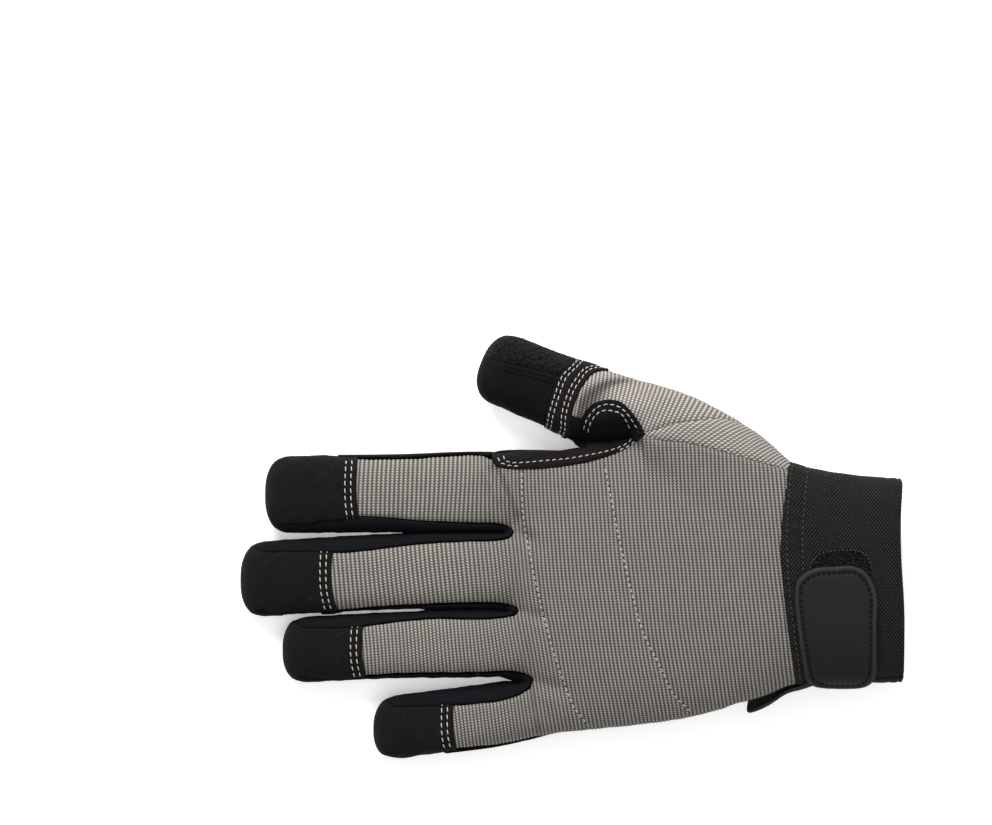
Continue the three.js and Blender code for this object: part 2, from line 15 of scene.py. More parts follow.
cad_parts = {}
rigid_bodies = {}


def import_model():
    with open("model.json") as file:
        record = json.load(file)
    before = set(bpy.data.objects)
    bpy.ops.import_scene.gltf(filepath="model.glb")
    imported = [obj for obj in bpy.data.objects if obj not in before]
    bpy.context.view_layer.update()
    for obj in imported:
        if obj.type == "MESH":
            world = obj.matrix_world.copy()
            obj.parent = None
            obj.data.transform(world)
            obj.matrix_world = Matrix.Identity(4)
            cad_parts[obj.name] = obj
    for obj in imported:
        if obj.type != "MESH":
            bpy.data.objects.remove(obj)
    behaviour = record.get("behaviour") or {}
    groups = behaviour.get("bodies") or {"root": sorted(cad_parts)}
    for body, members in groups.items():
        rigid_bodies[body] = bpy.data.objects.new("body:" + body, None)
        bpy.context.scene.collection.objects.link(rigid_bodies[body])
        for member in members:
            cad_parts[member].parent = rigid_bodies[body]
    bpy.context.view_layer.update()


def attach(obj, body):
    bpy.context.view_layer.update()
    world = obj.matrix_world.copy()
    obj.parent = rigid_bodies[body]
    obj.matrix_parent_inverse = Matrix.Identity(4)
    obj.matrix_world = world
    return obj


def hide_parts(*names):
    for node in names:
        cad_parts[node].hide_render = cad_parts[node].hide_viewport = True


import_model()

bl_info = {
    "name": "Mechanic glove",
    "version": (1, 0, 0),
    "blender": (4, 5, 0),
    "location": "3D View > Sidebar > Glove",
    "description": "Builds the knit, suede, elastic, rubber and stitching of a mechanic glove",
    "category": "Add Mesh",
}

MM = 0.001
TO_PACKED = np.array((0.493, 0.041, 0.0))  # from the plan's own origin to the middle of the outline
OUT = -50.0  # height of a surface where it isn't there
BESIDE = 4  # how steeply a tube's surface runs on outside its silhouette
LOWEST, HIGHEST = 0.05, 9  # the palm's sheet keeps between these heights

# Thickness of each cloth
KNIT = 1.0
SUEDE = 0.9
PATCH = 0.8
PALM = 1.0
BAND = 1.0
FOLDED_SUEDE = 1.0
STRETCH = 0.8
ELASTIC = 1.6
PILE = 0.7
RUBBER = 1.6
TURNED_IN = 0.25  # how far the edge of a sewn-on piece dips into what it lies on
PALM_LIFT = 0.15  # how far the palm's reinforcements lie inside the palm's own surface
TAB_STAND = 3.8  # height over the cuff at which the tab's outline is taken

# How far the rows of stitches, and the grooves that they draw, lie from the edges
CAP_INSETS = (2.2, 4.4)
BAND_INSETS = (1.0, 2.6)
BAND_HAND_MORE = 1.1  # so much further in on the band's hand side
PATCH_INSETS = (1.9, 3.9)
CUFF_INSETS = (2.2, 8.2)
TERRY_INSETS = (1.3, 2.9)
TAB_INSET = 2.5

# Sections of the fingers: x, y, width, height, height above the floor
FINGERS = {
    "index": ((-116.1, 19.5, 28.2, 14.5, 0), (-63.5, 19.8, 28.2, 16.5, 0.2), (-38, 20.3, 29.0, 17, 1.5),
              (26, 19.5, 23, 15, 4.5)),
    "middle": ((-125.4, -12.8, 27.4, 14.5, 0), (-63.5, -9.6, 28, 16.8, 0.2), (-38, -9, 27.8, 17.4, 1.5),
               (26, -8.6, 23, 19, 2.5)),
    "ring": ((-109.5, -39.3, 24.2, 14, 0), (-63.5, -37.1, 24.4, 16, 0.2), (-38, -36.8, 24.6, 16.6, 1.5),
             (26, -35, 21, 19, 2.5)),
    "little": ((-75.2, -69.2, 22.8, 13, 0), (-48, -65.9, 23, 14.6, 0.2), (-28, -63.2, 23, 15.2, 1.5),
               (22, -52, 18, 14, 5)),
}
THUMB_ROWS = ((-34.3, 69.9, 26.4, 18, 0), (-8.3, 59.4, 27.2, 20, 0.2), (14.8, 50, 30.5, 22.5, 1.5),
              (37.7, 39.8, 37, 24.5, 1.5), (58.6, 24.8, 42, 25.5, 1.5), (70.5, 15.2, 40.5, 25.5, 1.5),
              (84, 4.5, 39, 24.5, 1.8))
# Sections of the hand and cuff: x, thumb edge, little finger edge, height, height above the floor
HAND_ROWS = ((-28, 34.3, -72.6, 13.5, 1.5), (-20, 35.2, -72.9, 17.5, 1.5), (-9, 36.2, -71.2, 20.5, 1.5),
             (8, 38.2, -69.2, 23, 1.5), (26, 41, -67.3, 25, 1.5), (44, 43, -64.6, 26.2, 1.5),
             (60, 41.5, -60.2, 27, 1.5), (73, 36.5, -55, 26.6, 1.8), (81, 31.6, -51.2, 24.6, 2.8),
             (90, 28.8, -50.4, 23.6, 3.2), (104, 26.2, -50.3, 24.2, 3.2), (124.6, 24.9, -50.5, 25, 3.2))
# How far the web between the fingers lies behind the index finger's, across the hand
WEB_LAG = ((-75, -10), (-50, -7.2), (-24, -1.6), (5.5, 0), (35, 3))
PRESSED = 1.0  # how far the underside is flattened by the surface it lies on

# Seams of the back between the knit and the strips between the fingers, each as y over x
SEAM_LINES = {
    "index_high": ((-88, 33.2), (-60, 33.5), (-45, 34.4), (-37, 34.6), (-33, 34.3), (-31.2, 33.6),
                   (-27, 31.8), (-18.5, 31), (-2.2, 32), (10.9, 34.8), (20.7, 38.9), (26.4, 42), (31.9, 40.4),
                   (41.9, 39.3), (52, 37.2), (67.2, 33), (79.8, 29.7), (92, 26.5)),
    "index_low": ((-112.6, 9.6), (-106, 8.6), (-98.5, 9), (-81, 11), (-54, 9.2), (-35.6, 8.5), (-28, 8.2),
                  (-24.5, 7.4), (-22.9, 6.4), (-22.3, 5.5)),
    "middle_high": ((-121.9, -2.6), (-106, -2), (-89.7, -2.2), (-54, 1.5), (-40, 2.3), (-28, 2.8),
                    (-24.5, 3.5), (-22.9, 4.5), (-22.3, 5.5)),
    "middle_low": ((-121.9, -22), (-115, -24.2), (-101, -24.7), (-63.5, -22.6), (-35, -21.6), (-27, -21.8),
                   (-23, -22.6), (-21.3, -23.4), (-20.8, -24.2)),
    "ring_high": ((-106, -31), (-82, -30.4), (-69, -28.5), (-54, -27), (-30, -26.8), (-24, -26),
                  (-21.4, -25.1), (-20.8, -24.2)),
    "ring_low": ((-106, -46.5), (-100, -49.3), (-91.6, -49.6), (-63.5, -48.3), (-35, -47.9), (-22, -47.6),
                 (-17.5, -48.6), (-15.8, -49.5), (-15.3, -50.3)),
    "little_high": ((-71.7, -61), (-48.5, -59.9), (-35.4, -58.9), (-24, -57), (-18.5, -54.6), (-16, -52.2),
                    (-15.3, -50.3)),
    "little_low": ((-50, -77.2), (-44, -76.6), (-28, -74.7), (-12.3, -71.9), (6.5, -69.4), (25.3, -67.4),
                   (44, -64.6), (59.7, -60.3), (73, -55), (81, -51.2), (92, -50.4)),
}
# Where two fingers' backs meet behind their crotch, on to the cuff
BEHIND_CROTCH = {
    "index_low": ((-22.3, 5.5), (0, 6), (40, 7.5), (92, 9)),
    "middle_low": ((-20.8, -24.2), (0, -22), (40, -16.5), (92, -13.5)),
    "ring_low": ((-15.3, -50.3), (0, -48), (40, -41), (92, -33.5)),
}
SHARES = (("index", "index_high", "index_low"), ("middle", "middle_high", "middle_low"),
          ("ring", "ring_high", "ring_low"), ("little", "little_high", "little_low"))
HIGH_BEHIND = {"middle_high": "index_low", "ring_high": "middle_low", "little_high": "ring_low"}

# Edge of each fingertip cap on the back, and how much shorter the cap is on the palm side
CAP_EDGES = {
    "index": ((-80.9, 31.5), (-81.3, 19.8), (-79.9, 8)),
    "middle": ((-90.3, -1), (-90.6, -13.4), (-88.4, -25)),
    "ring": ((-78.5, -28), (-79.2, -39.7), (-77.5, -50)),
    "little": ((-44.7, -58), (-44.9, -67.8), (-43.4, -78)),
}
CAP_PALM_SHORTER = 3.2
CUFF_SEAM = ((83.6, 40), (82.2, 31.1), (80.7, 26.6), (79.1, 16.6), (78.4, 6.7), (78.1, -1.2), (78.7, -13.1),
             (81.4, -35.3), (83.2, -46.2), (84.2, -58))
QUILT_LINES = (
    ((-19, 28.1), (-18.7, 12.6), (-16.8, 0.9), (-12.3, -20.2), (-6.2, -42.8), (-2.8, -52.2), (0.2, -59.8),
     (6.6, -68.1)),
    ((12.2, 29.6), (13.8, 21.7), (15.9, 10.5), (18.6, -2.1), (22.7, -19.2), (26.8, -33), (32.8, -44.8),
     (38.2, -55.8), (44.6, -62.2)),
)
# Folds and hollows of the back: a line of the plan, how much it rises or sinks, and how wide it is
FOLDS = (
    (((-29.4, 28.8), (-26.5, 22), (-23.2, 15.3), (-22, 9)), -2.2, 2.0),
    (((-26, 29), (-22.6, 21), (-20.9, 14)), 1.1, 1.8),
    (((-33, 29.5), (-30.5, 24), (-28, 19)), 1.0, 2.2),
    (((-22.3, 5.5), (-19.5, 4.8), (-16, 3)), -1.5, 2.4),
    (((-20.8, -24.2), (-17, -25), (-12, -26.5)), -1.5, 2.6),
    (((-15.3, -50.3), (-11, -51.5), (-5, -53.5)), -1.6, 2.8),
    (((-24, -2), (-22.5, -10), (-21.5, -19)), -0.8, 2.6),
    (((-21.5, -29), (-18.5, -37), (-16, -45)), -0.8, 2.6),
    (((-14, -55), (-10, -62), (-7, -69)), -0.7, 2.6),
    (((-62, 27), (-60, 20), (-61, 13)), -0.3, 3.5),
    (((-64, -4), (-62, -10), (-63, -18)), -0.3, 3.5),
)
# Ridge of the padded stretch between the quilt lines
PADDING = ((-2, 24), (0, 5), (4, -16), (12, -38), (20, -52))

# Lines of the thumb side
SADDLE_INNER = ((-30.4, 33.6), (-29.9, 31.6), (-28.6, 30.1), (-25.9, 29.4), (-18.5, 29), (-2.2, 30.2),
                (10.9, 33.1), (20.7, 37.1), (25, 40.2), (26.6, 42.6))
SADDLE_OUTER = ((-30.4, 34), (-29.8, 34.7), (-27.6, 35.3), (-21.3, 35.7), (-11.7, 35.6), (-4.4, 35.4),
                (6.4, 37.2), (14.8, 39.8), (22, 42.6), (26, 44.6))
HALF_MOON = ((1.2, 42.4), (2.2, 45.2), (3.4, 48.4), (5.4, 51.5), (8.8, 54.1), (13.8, 55.3), (18.2, 54.4),
             (21.9, 51.2), (24.8, 47.2), (26.6, 43.6))
HALF_MOON_FOOT = ((24, 41.6), (16, 39.6), (8, 38.2), (2, 38), (0.4, 39.8))
HALF_MOON_STITCHES = (
    ((4, 43.2), (5.2, 47.2), (7, 50), (9.2, 52.3), (12.1, 53.4), (14.9, 53.4), (17.8, 52.4), (20.6, 50),
     (22.6, 47.2), (24.6, 44)),
    ((5.8, 42.4), (6.4, 45.5), (8.1, 48.6), (10.1, 50.6), (12.7, 51.3), (15.5, 51), (18.3, 50), (20.3, 47.2),
     (21.8, 44)),
)
SADDLE_STITCHES = (
    ((-25.4, 35), (-26.2, 33.5), (-24.8, 32.1), (-19.7, 31.6), (-14, 32), (-8.3, 32.5), (-2.7, 33), (3, 33.9),
     (8.7, 35), (14.4, 36.3), (18.9, 38), (21.8, 39.8), (22.7, 41.5)),
    ((-28.2, 34.3), (-27.5, 32), (-24.8, 30.7), (-19.7, 30.2)),
    ((17.2, 36.1), (21.2, 38), (24, 40.2), (25, 42.2)),
)
GUSSET_THUMB_SEAM = ((26.4, 42.4), (31.9, 44.3), (39.4, 46.6), (46, 47.6), (59.1, 48.3))
GUSSET_BACK_SEAM = ((26.4, 42), (31.9, 40.4), (41.9, 39.3), (52, 37.2), (67.2, 33), (79.8, 29.7))
BAND_TIP_SEAM = ((1.8, 70.8), (-1.5, 67.6), (-4.9, 64.3), (-7.8, 56.6), (-10.2, 46.5))
BAND_HAND_SEAM = ((13.6, 66.2), (8.5, 65.7), (5.2, 62.4), (1.8, 56.6), (-0.2, 50.3), (-0.6, 43.6))
TERRY_SEAM = ((-35.6, 70.6), (-26.1, 69.6), (-16.5, 67.4), (-4.9, 64.3))
THUMB_PALM_SEAM = ((8.4, 62.4), (25, 52.5), (40.5, 45), (50, 33.8), (60, 20), (69.5, 11.5), (82, 6))
THUMB_FOLD = ((3.4, 49.5), (4.9, 53), (7.3, 56.2), (10.6, 58.7), (15, 60.6), (20.5, 61.4), (26, 61),
              (31, 59.6))
RECESS = ((-6, 40.6), (0, 40.6), (6, 41.2), (12, 42.2), (18, 43), (24, 43.2), (29, 43.4))

# Outlines of what is sewn on the outside
PALM_PATCHES = {
    "palm_patch": ((10.3, 30.4), (-18.3, 29.6), (-26.6, 25.8), (-27.7, 20.5), (-25, 15.3), (-16.4, 13.4),
                   (-13.4, 10), (-16.4, 2.5), (-29.2, -2.8), (-30, -9.6), (-28, -13), (-19.8, -15.6),
                   (-15.3, -19), (-15.7, -23.9), (-18.7, -27.3), (-29.6, -30.3), (-34.5, -34.1),
                   (-34.1, -38.3), (-30.7, -42), (-19.8, -42.4), (-10.4, -45), (-7.4, -50), (-9.6, -54.1),
                   (-22, -56.7), (-24, -60), (-19, -63.5), (10, -62.5), (40, -58.5), (60, -53), (74, -46.5),
                   (79, -38), (77.2, -14), (74, -9.6), (62, -12.8), (48, -16), (34.9, -16.4), (27, -12.6),
                   (20.5, -7), (15.6, 1.3), (12.6, 8.5), (11, 19.4), (12.6, 24.3)),
    "thenar_patch": ((16.8, 20.5), (21.7, 24.3), (31.5, 25.8), (37.9, 24.3), (50.7, 16.8), (69.5, 5.5),
                     (74, 0.2), (73, -3.2), (57, -7.4), (38.3, -8.1), (26.2, -3.6), (17.9, 5.5), (16, 16.8)),
}
# Rows that quilt the padding of the palm
PALM_ARCH = ((3.8, -57.5), (1.3, -47.7), (-0.8, -34.6), (-2.1, -22.4), (-2.1, -14.3), (-1.2, -6.9),
             (0.8, -0.9), (4, 1.9), (7.2, -0.6), (11.4, -8.4), (18, -17.4), (27, -24.6), (39, -31),
             (49.5, -37.5), (53.5, -44.4), (52.5, -50))
PALM_HOOK = ((15.4, -55.5), (13.5, -49.3), (11.4, -38.7), (10.3, -30.6), (11.4, -27.3), (13.9, -26.5),
             (17.7, -28.1), (25.2, -31.4), (32, -35.4), (34.9, -38.7), (34.1, -42), (31.1, -44.4),
             (27.8, -43.6), (23.6, -40.7), (21.5, -42), (21, -46), (22.2, -51), (23.2, -55.5))


# Reading of given numbers

def smooth_at(keys, values, places):
    """Values between given ones, on a smooth line through them."""
    keys = np.asarray(keys, float)
    values = np.asarray(values, float)
    slopes = np.gradient(values, keys)
    places = np.clip(np.asarray(places, float), keys[0], keys[-1])
    row = np.clip(np.searchsorted(keys, places, side="right") - 1, 0, len(keys) - 2)
    step = keys[row + 1] - keys[row]
    t = (places - keys[row]) / step
    before = values[row] * (1 + 2 * t) + step * slopes[row] * t
    after = values[row + 1] * (3 - 2 * t) + step * slopes[row + 1] * (t - 1)
    return before * (1 - t) ** 2 + after * t ** 2


def x_on(line, y):
    """Where a line of the plan that runs across the glove lies along it."""
    return read_off(sorted((across, along) for along, across in line), y)


def read_off(table, places):
    """Values of a table of pairs at other places, on a smooth line through them."""
    return smooth_at(*zip(*table), places)


def ease(places, start, end):
    """From 0 at the start to 1 at the end, level at both."""
    t = np.clip((np.asarray(places, float) - start) / (end - start), 0, 1)
    return t * t * (3 - 2 * t)


def bell(distance, width):
    """1 at no distance, falling off on both sides like a bell."""
    return np.exp(-(distance / width) ** 2)


def grooves(distance, insets, depth, width):
    """Depth of the grooves that rows of stitches draw at insets from an edge."""
    return sum(depth * bell(distance - inset, width) for inset in insets)


def powered(value, power):
    """A power of a number's size, with the number's sign."""
    return np.sign(value) * np.abs(value) ** power


def rounded(gap, radius):
    """From 0 at an edge to 1 at a radius from it, on a quarter of a circle."""
    return np.sqrt(np.clip(1 - (1 - np.clip(gap / radius, 0, 1)) ** 2, 0, 1))


def unit(ways):
    """Directions scaled to a length of 1."""
    return ways / np.maximum(np.linalg.norm(ways, axis=-1, keepdims=True), 1e-9)


def to_the_left(ways):
    """Directions of the plan turned a quarter to the left."""
    return np.stack((-ways[:, 1], ways[:, 0]), 1)


def same_shape(x, y):
    """Coordinates as arrays of one shape."""
    return np.broadcast_arrays(np.asarray(x, float), np.asarray(y, float))


def all_round(count):
    """Angles evenly spaced round a whole turn."""
    return np.arange(count) * 2 * math.pi / count


def lengths_along(points):
    """Length of a line of points as far as each of them."""
    return np.concatenate(([0], np.cumsum(np.linalg.norm(np.diff(points, axis=0), axis=1))))


def traced(points, step, closed=False):
    """Points evenly spaced on a smooth line through given ones."""
    points = np.asarray(points, float)
    count = len(points)
    if closed:
        points = np.vstack((points[-3:], points, points[:3]))
    keys = lengths_along(points)
    first, last = (keys[3], keys[3 + count]) if closed else (0, keys[-1])
    fine = np.linspace(first, last, 60 * count)
    line = np.stack([smooth_at(keys, points[:, axis], fine) for axis in range(points.shape[1])], 1)
    along = lengths_along(line)
    parts = max(2, round(along[-1] / step))
    places = np.linspace(0, along[-1], parts + 1)
    if closed:
        places = places[:-1]
    return np.stack([np.interp(places, along, line[:, axis]) for axis in range(points.shape[1])], 1)


def beside(line, x, y):
    """Distance of each place of the plan from a line, and its side: positive to the line's left."""
    best = np.full(np.shape(x), 1e9)
    side = np.zeros(np.shape(x))
    for (from_x, from_y), (to_x, to_y) in zip(line[:-1], line[1:]):
        along_x, along_y = to_x - from_x, to_y - from_y
        share = ((x - from_x) * along_x + (y - from_y) * along_y) / (along_x ** 2 + along_y ** 2)
        share = np.clip(share, 0, 1)
        off_x = x - from_x - share * along_x
        off_y = y - from_y - share * along_y
        gap = np.hypot(off_x, off_y)
        nearer = gap < best
        best = np.where(nearer, gap, best)
        side = np.where(nearer, np.sign(along_x * off_y - along_y * off_x), side)
    return best, side


def soft_max(a, b, reach):
    """The higher of two heights, with a fillet where they are within reach of each other."""
    near = np.clip(1 - np.abs(a - b) / reach, 0, None)
    return np.maximum(a, b) + near ** 2 * reach / 4


# The glove's tubes, and its top and underside

def superellipse(t, fullness):
    """Height of a superellipse at a place from -1 to 1 across it."""
    return np.clip(1 - np.abs(t) ** fullness, 0, 1) ** (1 / fullness)


def rounding(depth, length, fullness):
    """Share of its full size that a tip has at a depth from its end."""
    return np.clip(1 - np.clip(1 - depth / length, 0, 1) ** fullness, 0, 1) ** (1 / fullness)


class Tube:
    """One tube of the glove. Its section is a superellipse, pressed flat where it lies on the floor."""

    def __init__(self, rows, fullness, tip_length, tip_width, upright=True):
        rows = np.asarray(rows, float)
        self.fullness = fullness
        self.tip_length = tip_length
        self.tip_width = tip_width  # how far from its end a tip has its full width
        self.upright = upright  # sections stand across X, else across the tube's own line
        keys = rows[:, 0] if upright else lengths_along(rows[:, :2])
        self.s = np.linspace(keys[0], keys[-1], 240)
        self.x, self.y, width, height, floor = (smooth_at(keys, rows[:, i], self.s) for i in range(5))
        self.half = width / 2
        self.rise = (height + PRESSED) / 2
        self.middle = floor + height - self.rise
        self.floor = floor
        heading = np.stack((np.gradient(self.x, self.s), np.gradient(self.y, self.s)), 1)
        self.across = to_the_left(unit(heading))
        if upright:
            self.across = np.tile((0.0, 1.0), (240, 1))

    def read(self, values, s):
        """One of the tube's own measures at s."""
        return np.interp(s, self.s, values)

    def section(self, s):
        """Half width, half height, middle height and floor of the section at s."""
        depth = s - self.s[0]
        narrow = rounding(depth, self.tip_width, 2.7) if self.tip_width else 1.0
        low = rounding(depth, self.tip_length, 2.2)
        half = np.maximum(self.read(self.half, s) * narrow, 1e-3)
        rise = np.maximum(self.read(self.rise, s) * low, 1e-3)
        return half, rise, self.read(self.middle, s), self.read(self.floor, s)

    def project(self, x, y):
        """Place along the tube, and across it from -1 to 1."""
        if self.upright:
            s = x
            off = y - self.read(self.y, x)
        else:
            flat_x, flat_y = np.ravel(x), np.ravel(y)
            gap = (flat_x[:, None] - self.x) ** 2 + (flat_y[:, None] - self.y) ** 2
            nearest = np.argmin(gap, 1)
            near_x, near_y = flat_x - self.x[nearest], flat_y - self.y[nearest]
            across = self.across[nearest]
            s = self.s[nearest] + near_x * across[:, 1] - near_y * across[:, 0]
            off = near_x * across[:, 0] + near_y * across[:, 1]
            s, off = s.reshape(np.shape(x)), off.reshape(np.shape(x))
        return s, off / self.section(s)[0]

    def top(self, x, y):
        """Height of the tube's upper side over places of the plan."""
        s, t = self.project(x, y)
        half, rise, middle, _ = self.section(s)
        height = middle + rise * superellipse(t, self.fullness)
        height = height - BESIDE * np.maximum(np.abs(t) - 1, 0) * half
        return np.where(s <= self.s[0], OUT, np.maximum(height, OUT))

    def bottom(self, x, y):
        """Height of the tube's underside over places of the plan."""
        s, t = self.project(x, y)
        half, rise, middle, floor = self.section(s)
        height = soft_max(middle - rise * superellipse(t, self.fullness), floor, 1.0)
        height = height + BESIDE * np.maximum(np.abs(t) - 1, 0) * half
        return np.where(s <= self.s[0], -OUT, np.minimum(height, -OUT))

    def at(self, s, angle, stand=0.0):
        """Points of the section at s, by the angle from its high Y side over its top, standing off it."""
        half, rise, middle, floor = self.section(s)
        cos, sin = np.cos(angle), np.sin(angle)
        t = powered(cos, 2 / self.fullness)
        up = powered(sin, 2 / self.fullness)
        off = (half + stand) * t
        x = self.read(self.x, s) + self.read(self.across[:, 0], s) * off
        y = self.read(self.y, s) + self.read(self.across[:, 1], s) * off
        z = soft_max(middle + (rise + stand) * up, floor - stand, 1.0)
        return np.stack(np.broadcast_arrays(x, y, z), -1)


FINGER_TUBES = {name: Tube(rows, 2.6, 13, 12) for name, rows in FINGERS.items()}
THUMB = Tube(THUMB_ROWS, 2.3, 14, 12, upright=False)
HAND = Tube([(x, (high + low) / 2, high - low, height, floor) for x, high, low, height, floor in HAND_ROWS],
            2.3, 8, 0)


def relief(x, y):
    """Folds, quilting and padding of the back, as a change of height."""
    height = np.zeros(np.shape(x))
    for line in QUILT_LINES:
        gap, _ = beside(line, x, y)
        height -= 0.75 * bell(gap, 1.3) + 0.45 * bell(gap, 4.5)
    for line, rise, width in FOLDS:
        gap, _ = beside(line, x, y)
        height += rise * bell(gap, width)
    gap, _ = beside(PADDING, x, y)
    return height + 0.7 * bell(gap, 8)


def near_thumb(x, y):
    """Which places of the plan the thumb can reach."""
    return (y > 0) & (x > -40)


def hand_top(x, y):
    """Height of the back without the thumb."""
    x, y = same_shape(x, y)
    reach = 0.05 + 3.0 * ease(x, -40, -16)
    height = np.full(x.shape, OUT)
    for tube in FINGER_TUBES.values():
        height = soft_max(height, tube.top(x, y), reach)
    lag = read_off(WEB_LAG, y) * (1 - ease(x, -22, 8))
    return soft_max(height, HAND.top(x + lag, y), reach) + relief(x, y)


def thumb_relief(x, y):
    """The recess at the crotch of the thumb and the fold above it, as a change of height."""
    off = y - read_off(RECESS, x)
    here = ease(x, -7, -1) * (1 - ease(x, 21, 28))
    height = -here * (9 * bell(np.maximum(off, 0), 3.8) + 2.5 * np.maximum(-off, 0))
    gap, side = beside(THUMB_FOLD, x, y)
    there = ease(x, 0, 4) * (1 - ease(x, 22, 33))
    ridge = np.where(side > 0, 0.9 * bell(gap - 4.5, 2.2), 0)
    rim, _ = beside(HALF_MOON[1:6], x, y)
    dip = 2.8 * bell(rim, 3.2) * (1 - ease(x, 10, 16))
    return height + (ridge - 3.8 * bell(gap, np.where(side > 0, 1.9, 5)) - dip) * there


def glove_top(x, y):
    """Height of the glove's outside, seen from above."""
    x, y = same_shape(x, y)
    height = np.array(hand_top(x, y))
    near = near_thumb(x, y)
    if near.any():
        thumb = THUMB.top(x[near], y[near]) + thumb_relief(x[near], y[near])
        height[near] = soft_max(height[near], thumb, 3.0)
    return height


def glove_bottom(x, y):
    """Height of the glove's underside."""
    x, y = same_shape(x, y)
    height = HAND.bottom(x, y)
    for tube in FINGER_TUBES.values():
        height = -soft_max(-height, -tube.bottom(x, y), 1.5)
    near = near_thumb(x, y)
    if near.any():
        height[near] = -soft_max(-height[near], -THUMB.bottom(x[near], y[near]), 1.5)
    return height


def top_facing(x, y):
    """Directions in which the glove's outside faces, seen from above."""
    step, steepest = 0.4, 6
    slope_x = (glove_top(x + step, y) - glove_top(x - step, y)) / (2 * step)
    slope_y = (glove_top(x, y + step) - glove_top(x, y - step)) / (2 * step)
    slopes = np.clip((slope_x, slope_y), -steepest, steepest)
    return unit(np.stack((-slopes[0], -slopes[1], np.ones(np.shape(x))), -1))


def on_top(x, y):
    """Places of the plan lifted to the glove's outside."""
    return np.stack((x, y, glove_top(x, y)), -1)


# Meshes

def grid_faces(rows, columns, start=0, closed=False):
    """Quads over rows and columns of points. A closed grid's last column joins its first."""
    last = columns if closed else columns - 1
    row, column = (axis.ravel() for axis in np.mgrid[:rows - 1, :last])
    after = (column + 1) % columns
    here = start + row * columns
    return np.stack((here + column, here + columns + column, here + columns + after, here + after), 1)


def add_cloth(name, points, faces, uv=None, lowest=0.3):
    """A mesh object from points in the plan's millimetres, flattened where it rests on the floor.

    uv is for an optional UV map named cloth.
    """
    mesh = bpy.data.meshes.new(name)
    points = np.array(points, float).reshape(-1, 3)
    points[:, 2] = soft_max(points[:, 2], lowest, 0.3)
    faces = [[int(corner) for corner in face] for face in faces]
    mesh.from_pydata(((points + TO_PACKED) * MM).tolist(), [], faces)
    if uv is not None:
        corners = np.zeros(len(mesh.loops), np.int32)
        mesh.loops.foreach_get("vertex_index", corners)
        layer = mesh.uv_layers.new(name="cloth")
        layer.data.foreach_set("uv", np.asarray(uv, np.float32).reshape(-1, 2)[corners].ravel())
    mesh.polygons.foreach_set("use_smooth", np.ones(len(mesh.polygons), bool))
    mesh.update()
    piece = bpy.data.objects.new(name, mesh)
    bpy.context.collection.objects.link(piece)
    return piece


def only(piece):
    """Selects one piece and nothing else."""
    for other in bpy.context.view_layer.objects:
        other.select_set(False)
    piece.select_set(True)
    bpy.context.view_layer.objects.active = piece


def weld(piece, gap):
    """Merges points that lie on each other and turns the faces outwards."""
    only(piece)
    bpy.ops.object.mode_set(mode="EDIT")
    bpy.ops.mesh.select_all(action="SELECT")
    bpy.ops.mesh.remove_doubles(threshold=gap * MM)
    bpy.ops.mesh.normals_make_consistent(inside=False)
    bpy.ops.object.mode_set(mode="OBJECT")


def face_like(piece, direction):
    """Turns an open sheet round if it faces against a direction, or inwards where none is given."""
    faces = piece.data.polygons
    read = []
    for name, size in (("normal", 3), ("center", 3), ("area", 1)):
        values = np.zeros(len(faces) * size, np.float32)
        faces.foreach_get(name, values)
        read.append(values.reshape(-1, size))
    normals, centres, areas = read
    wanted = centres - centres.mean(0) if direction is None else np.asarray(direction, float)
    if (normals * wanted * areas).sum() < 0:
        piece.data.flip_normals()


def thicken(piece, thickness, offset=-1):
    """Gives a sheet its thickness, inwards from its outside for an offset of -1 and both ways for 0."""
    only(piece)
    modifier = piece.modifiers.new("thickness", "SOLIDIFY")
    modifier.thickness = thickness * MM
    modifier.offset = offset
    modifier.use_even_offset = False
    bpy.ops.object.modifier_apply(modifier=modifier.name)


def made_up(piece, thickness, outside=None, gap=None):
    """Ends a sheet: welded where its points lie within a gap, faced outwards and given its thickness."""
    if gap is not None:
        weld(piece, gap)
    face_like(piece, outside)
    thicken(piece, thickness)
    return piece


def points_of(piece):
    """A piece's points in the plan's millimetres, and its faces."""
    mesh = piece.data
    points = np.zeros(len(mesh.vertices) * 3, np.float32)
    mesh.vertices.foreach_get("co", points)
    points = points.reshape(-1, 3).astype(float) / MM - TO_PACKED
    return points, [tuple(face.vertices) for face in mesh.polygons]


def dress(piece, material, nodes):
    """Gives a finished piece its material, hangs it on the root body and hides the CAD nodes that it stands
    for.
    """
    piece.data.materials.clear()
    piece.data.materials.append(material)
    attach(piece, "root")
    if nodes:
        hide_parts(*nodes)
    return piece


def inside(outline, points):
    """Which points of the plan lie within a closed outline."""
    x, y = points[:, 0], points[:, 1]
    found = np.zeros(len(points), bool)
    for (from_x, from_y), (to_x, to_y) in zip(outline, np.roll(outline, -1, axis=0)):
        crosses = (from_y > y) != (to_y > y)
        rise = to_y - from_y if to_y != from_y else 1e-9
        found ^= crosses & (x < (to_x - from_x) * (y - from_y) / rise + from_x)
    return found


def closed_line(outline):
    """An outline that ends in its first point again."""
    return np.vstack((outline, outline[:1]))


def inward_from(loop):
    """Directions into a closed outline from each of its points."""
    inward = to_the_left(unit(np.roll(loop, -1, axis=0) - np.roll(loop, 1, axis=0)))
    return inward if inside(loop, loop + inward * 0.05).mean() > 0.5 else -inward


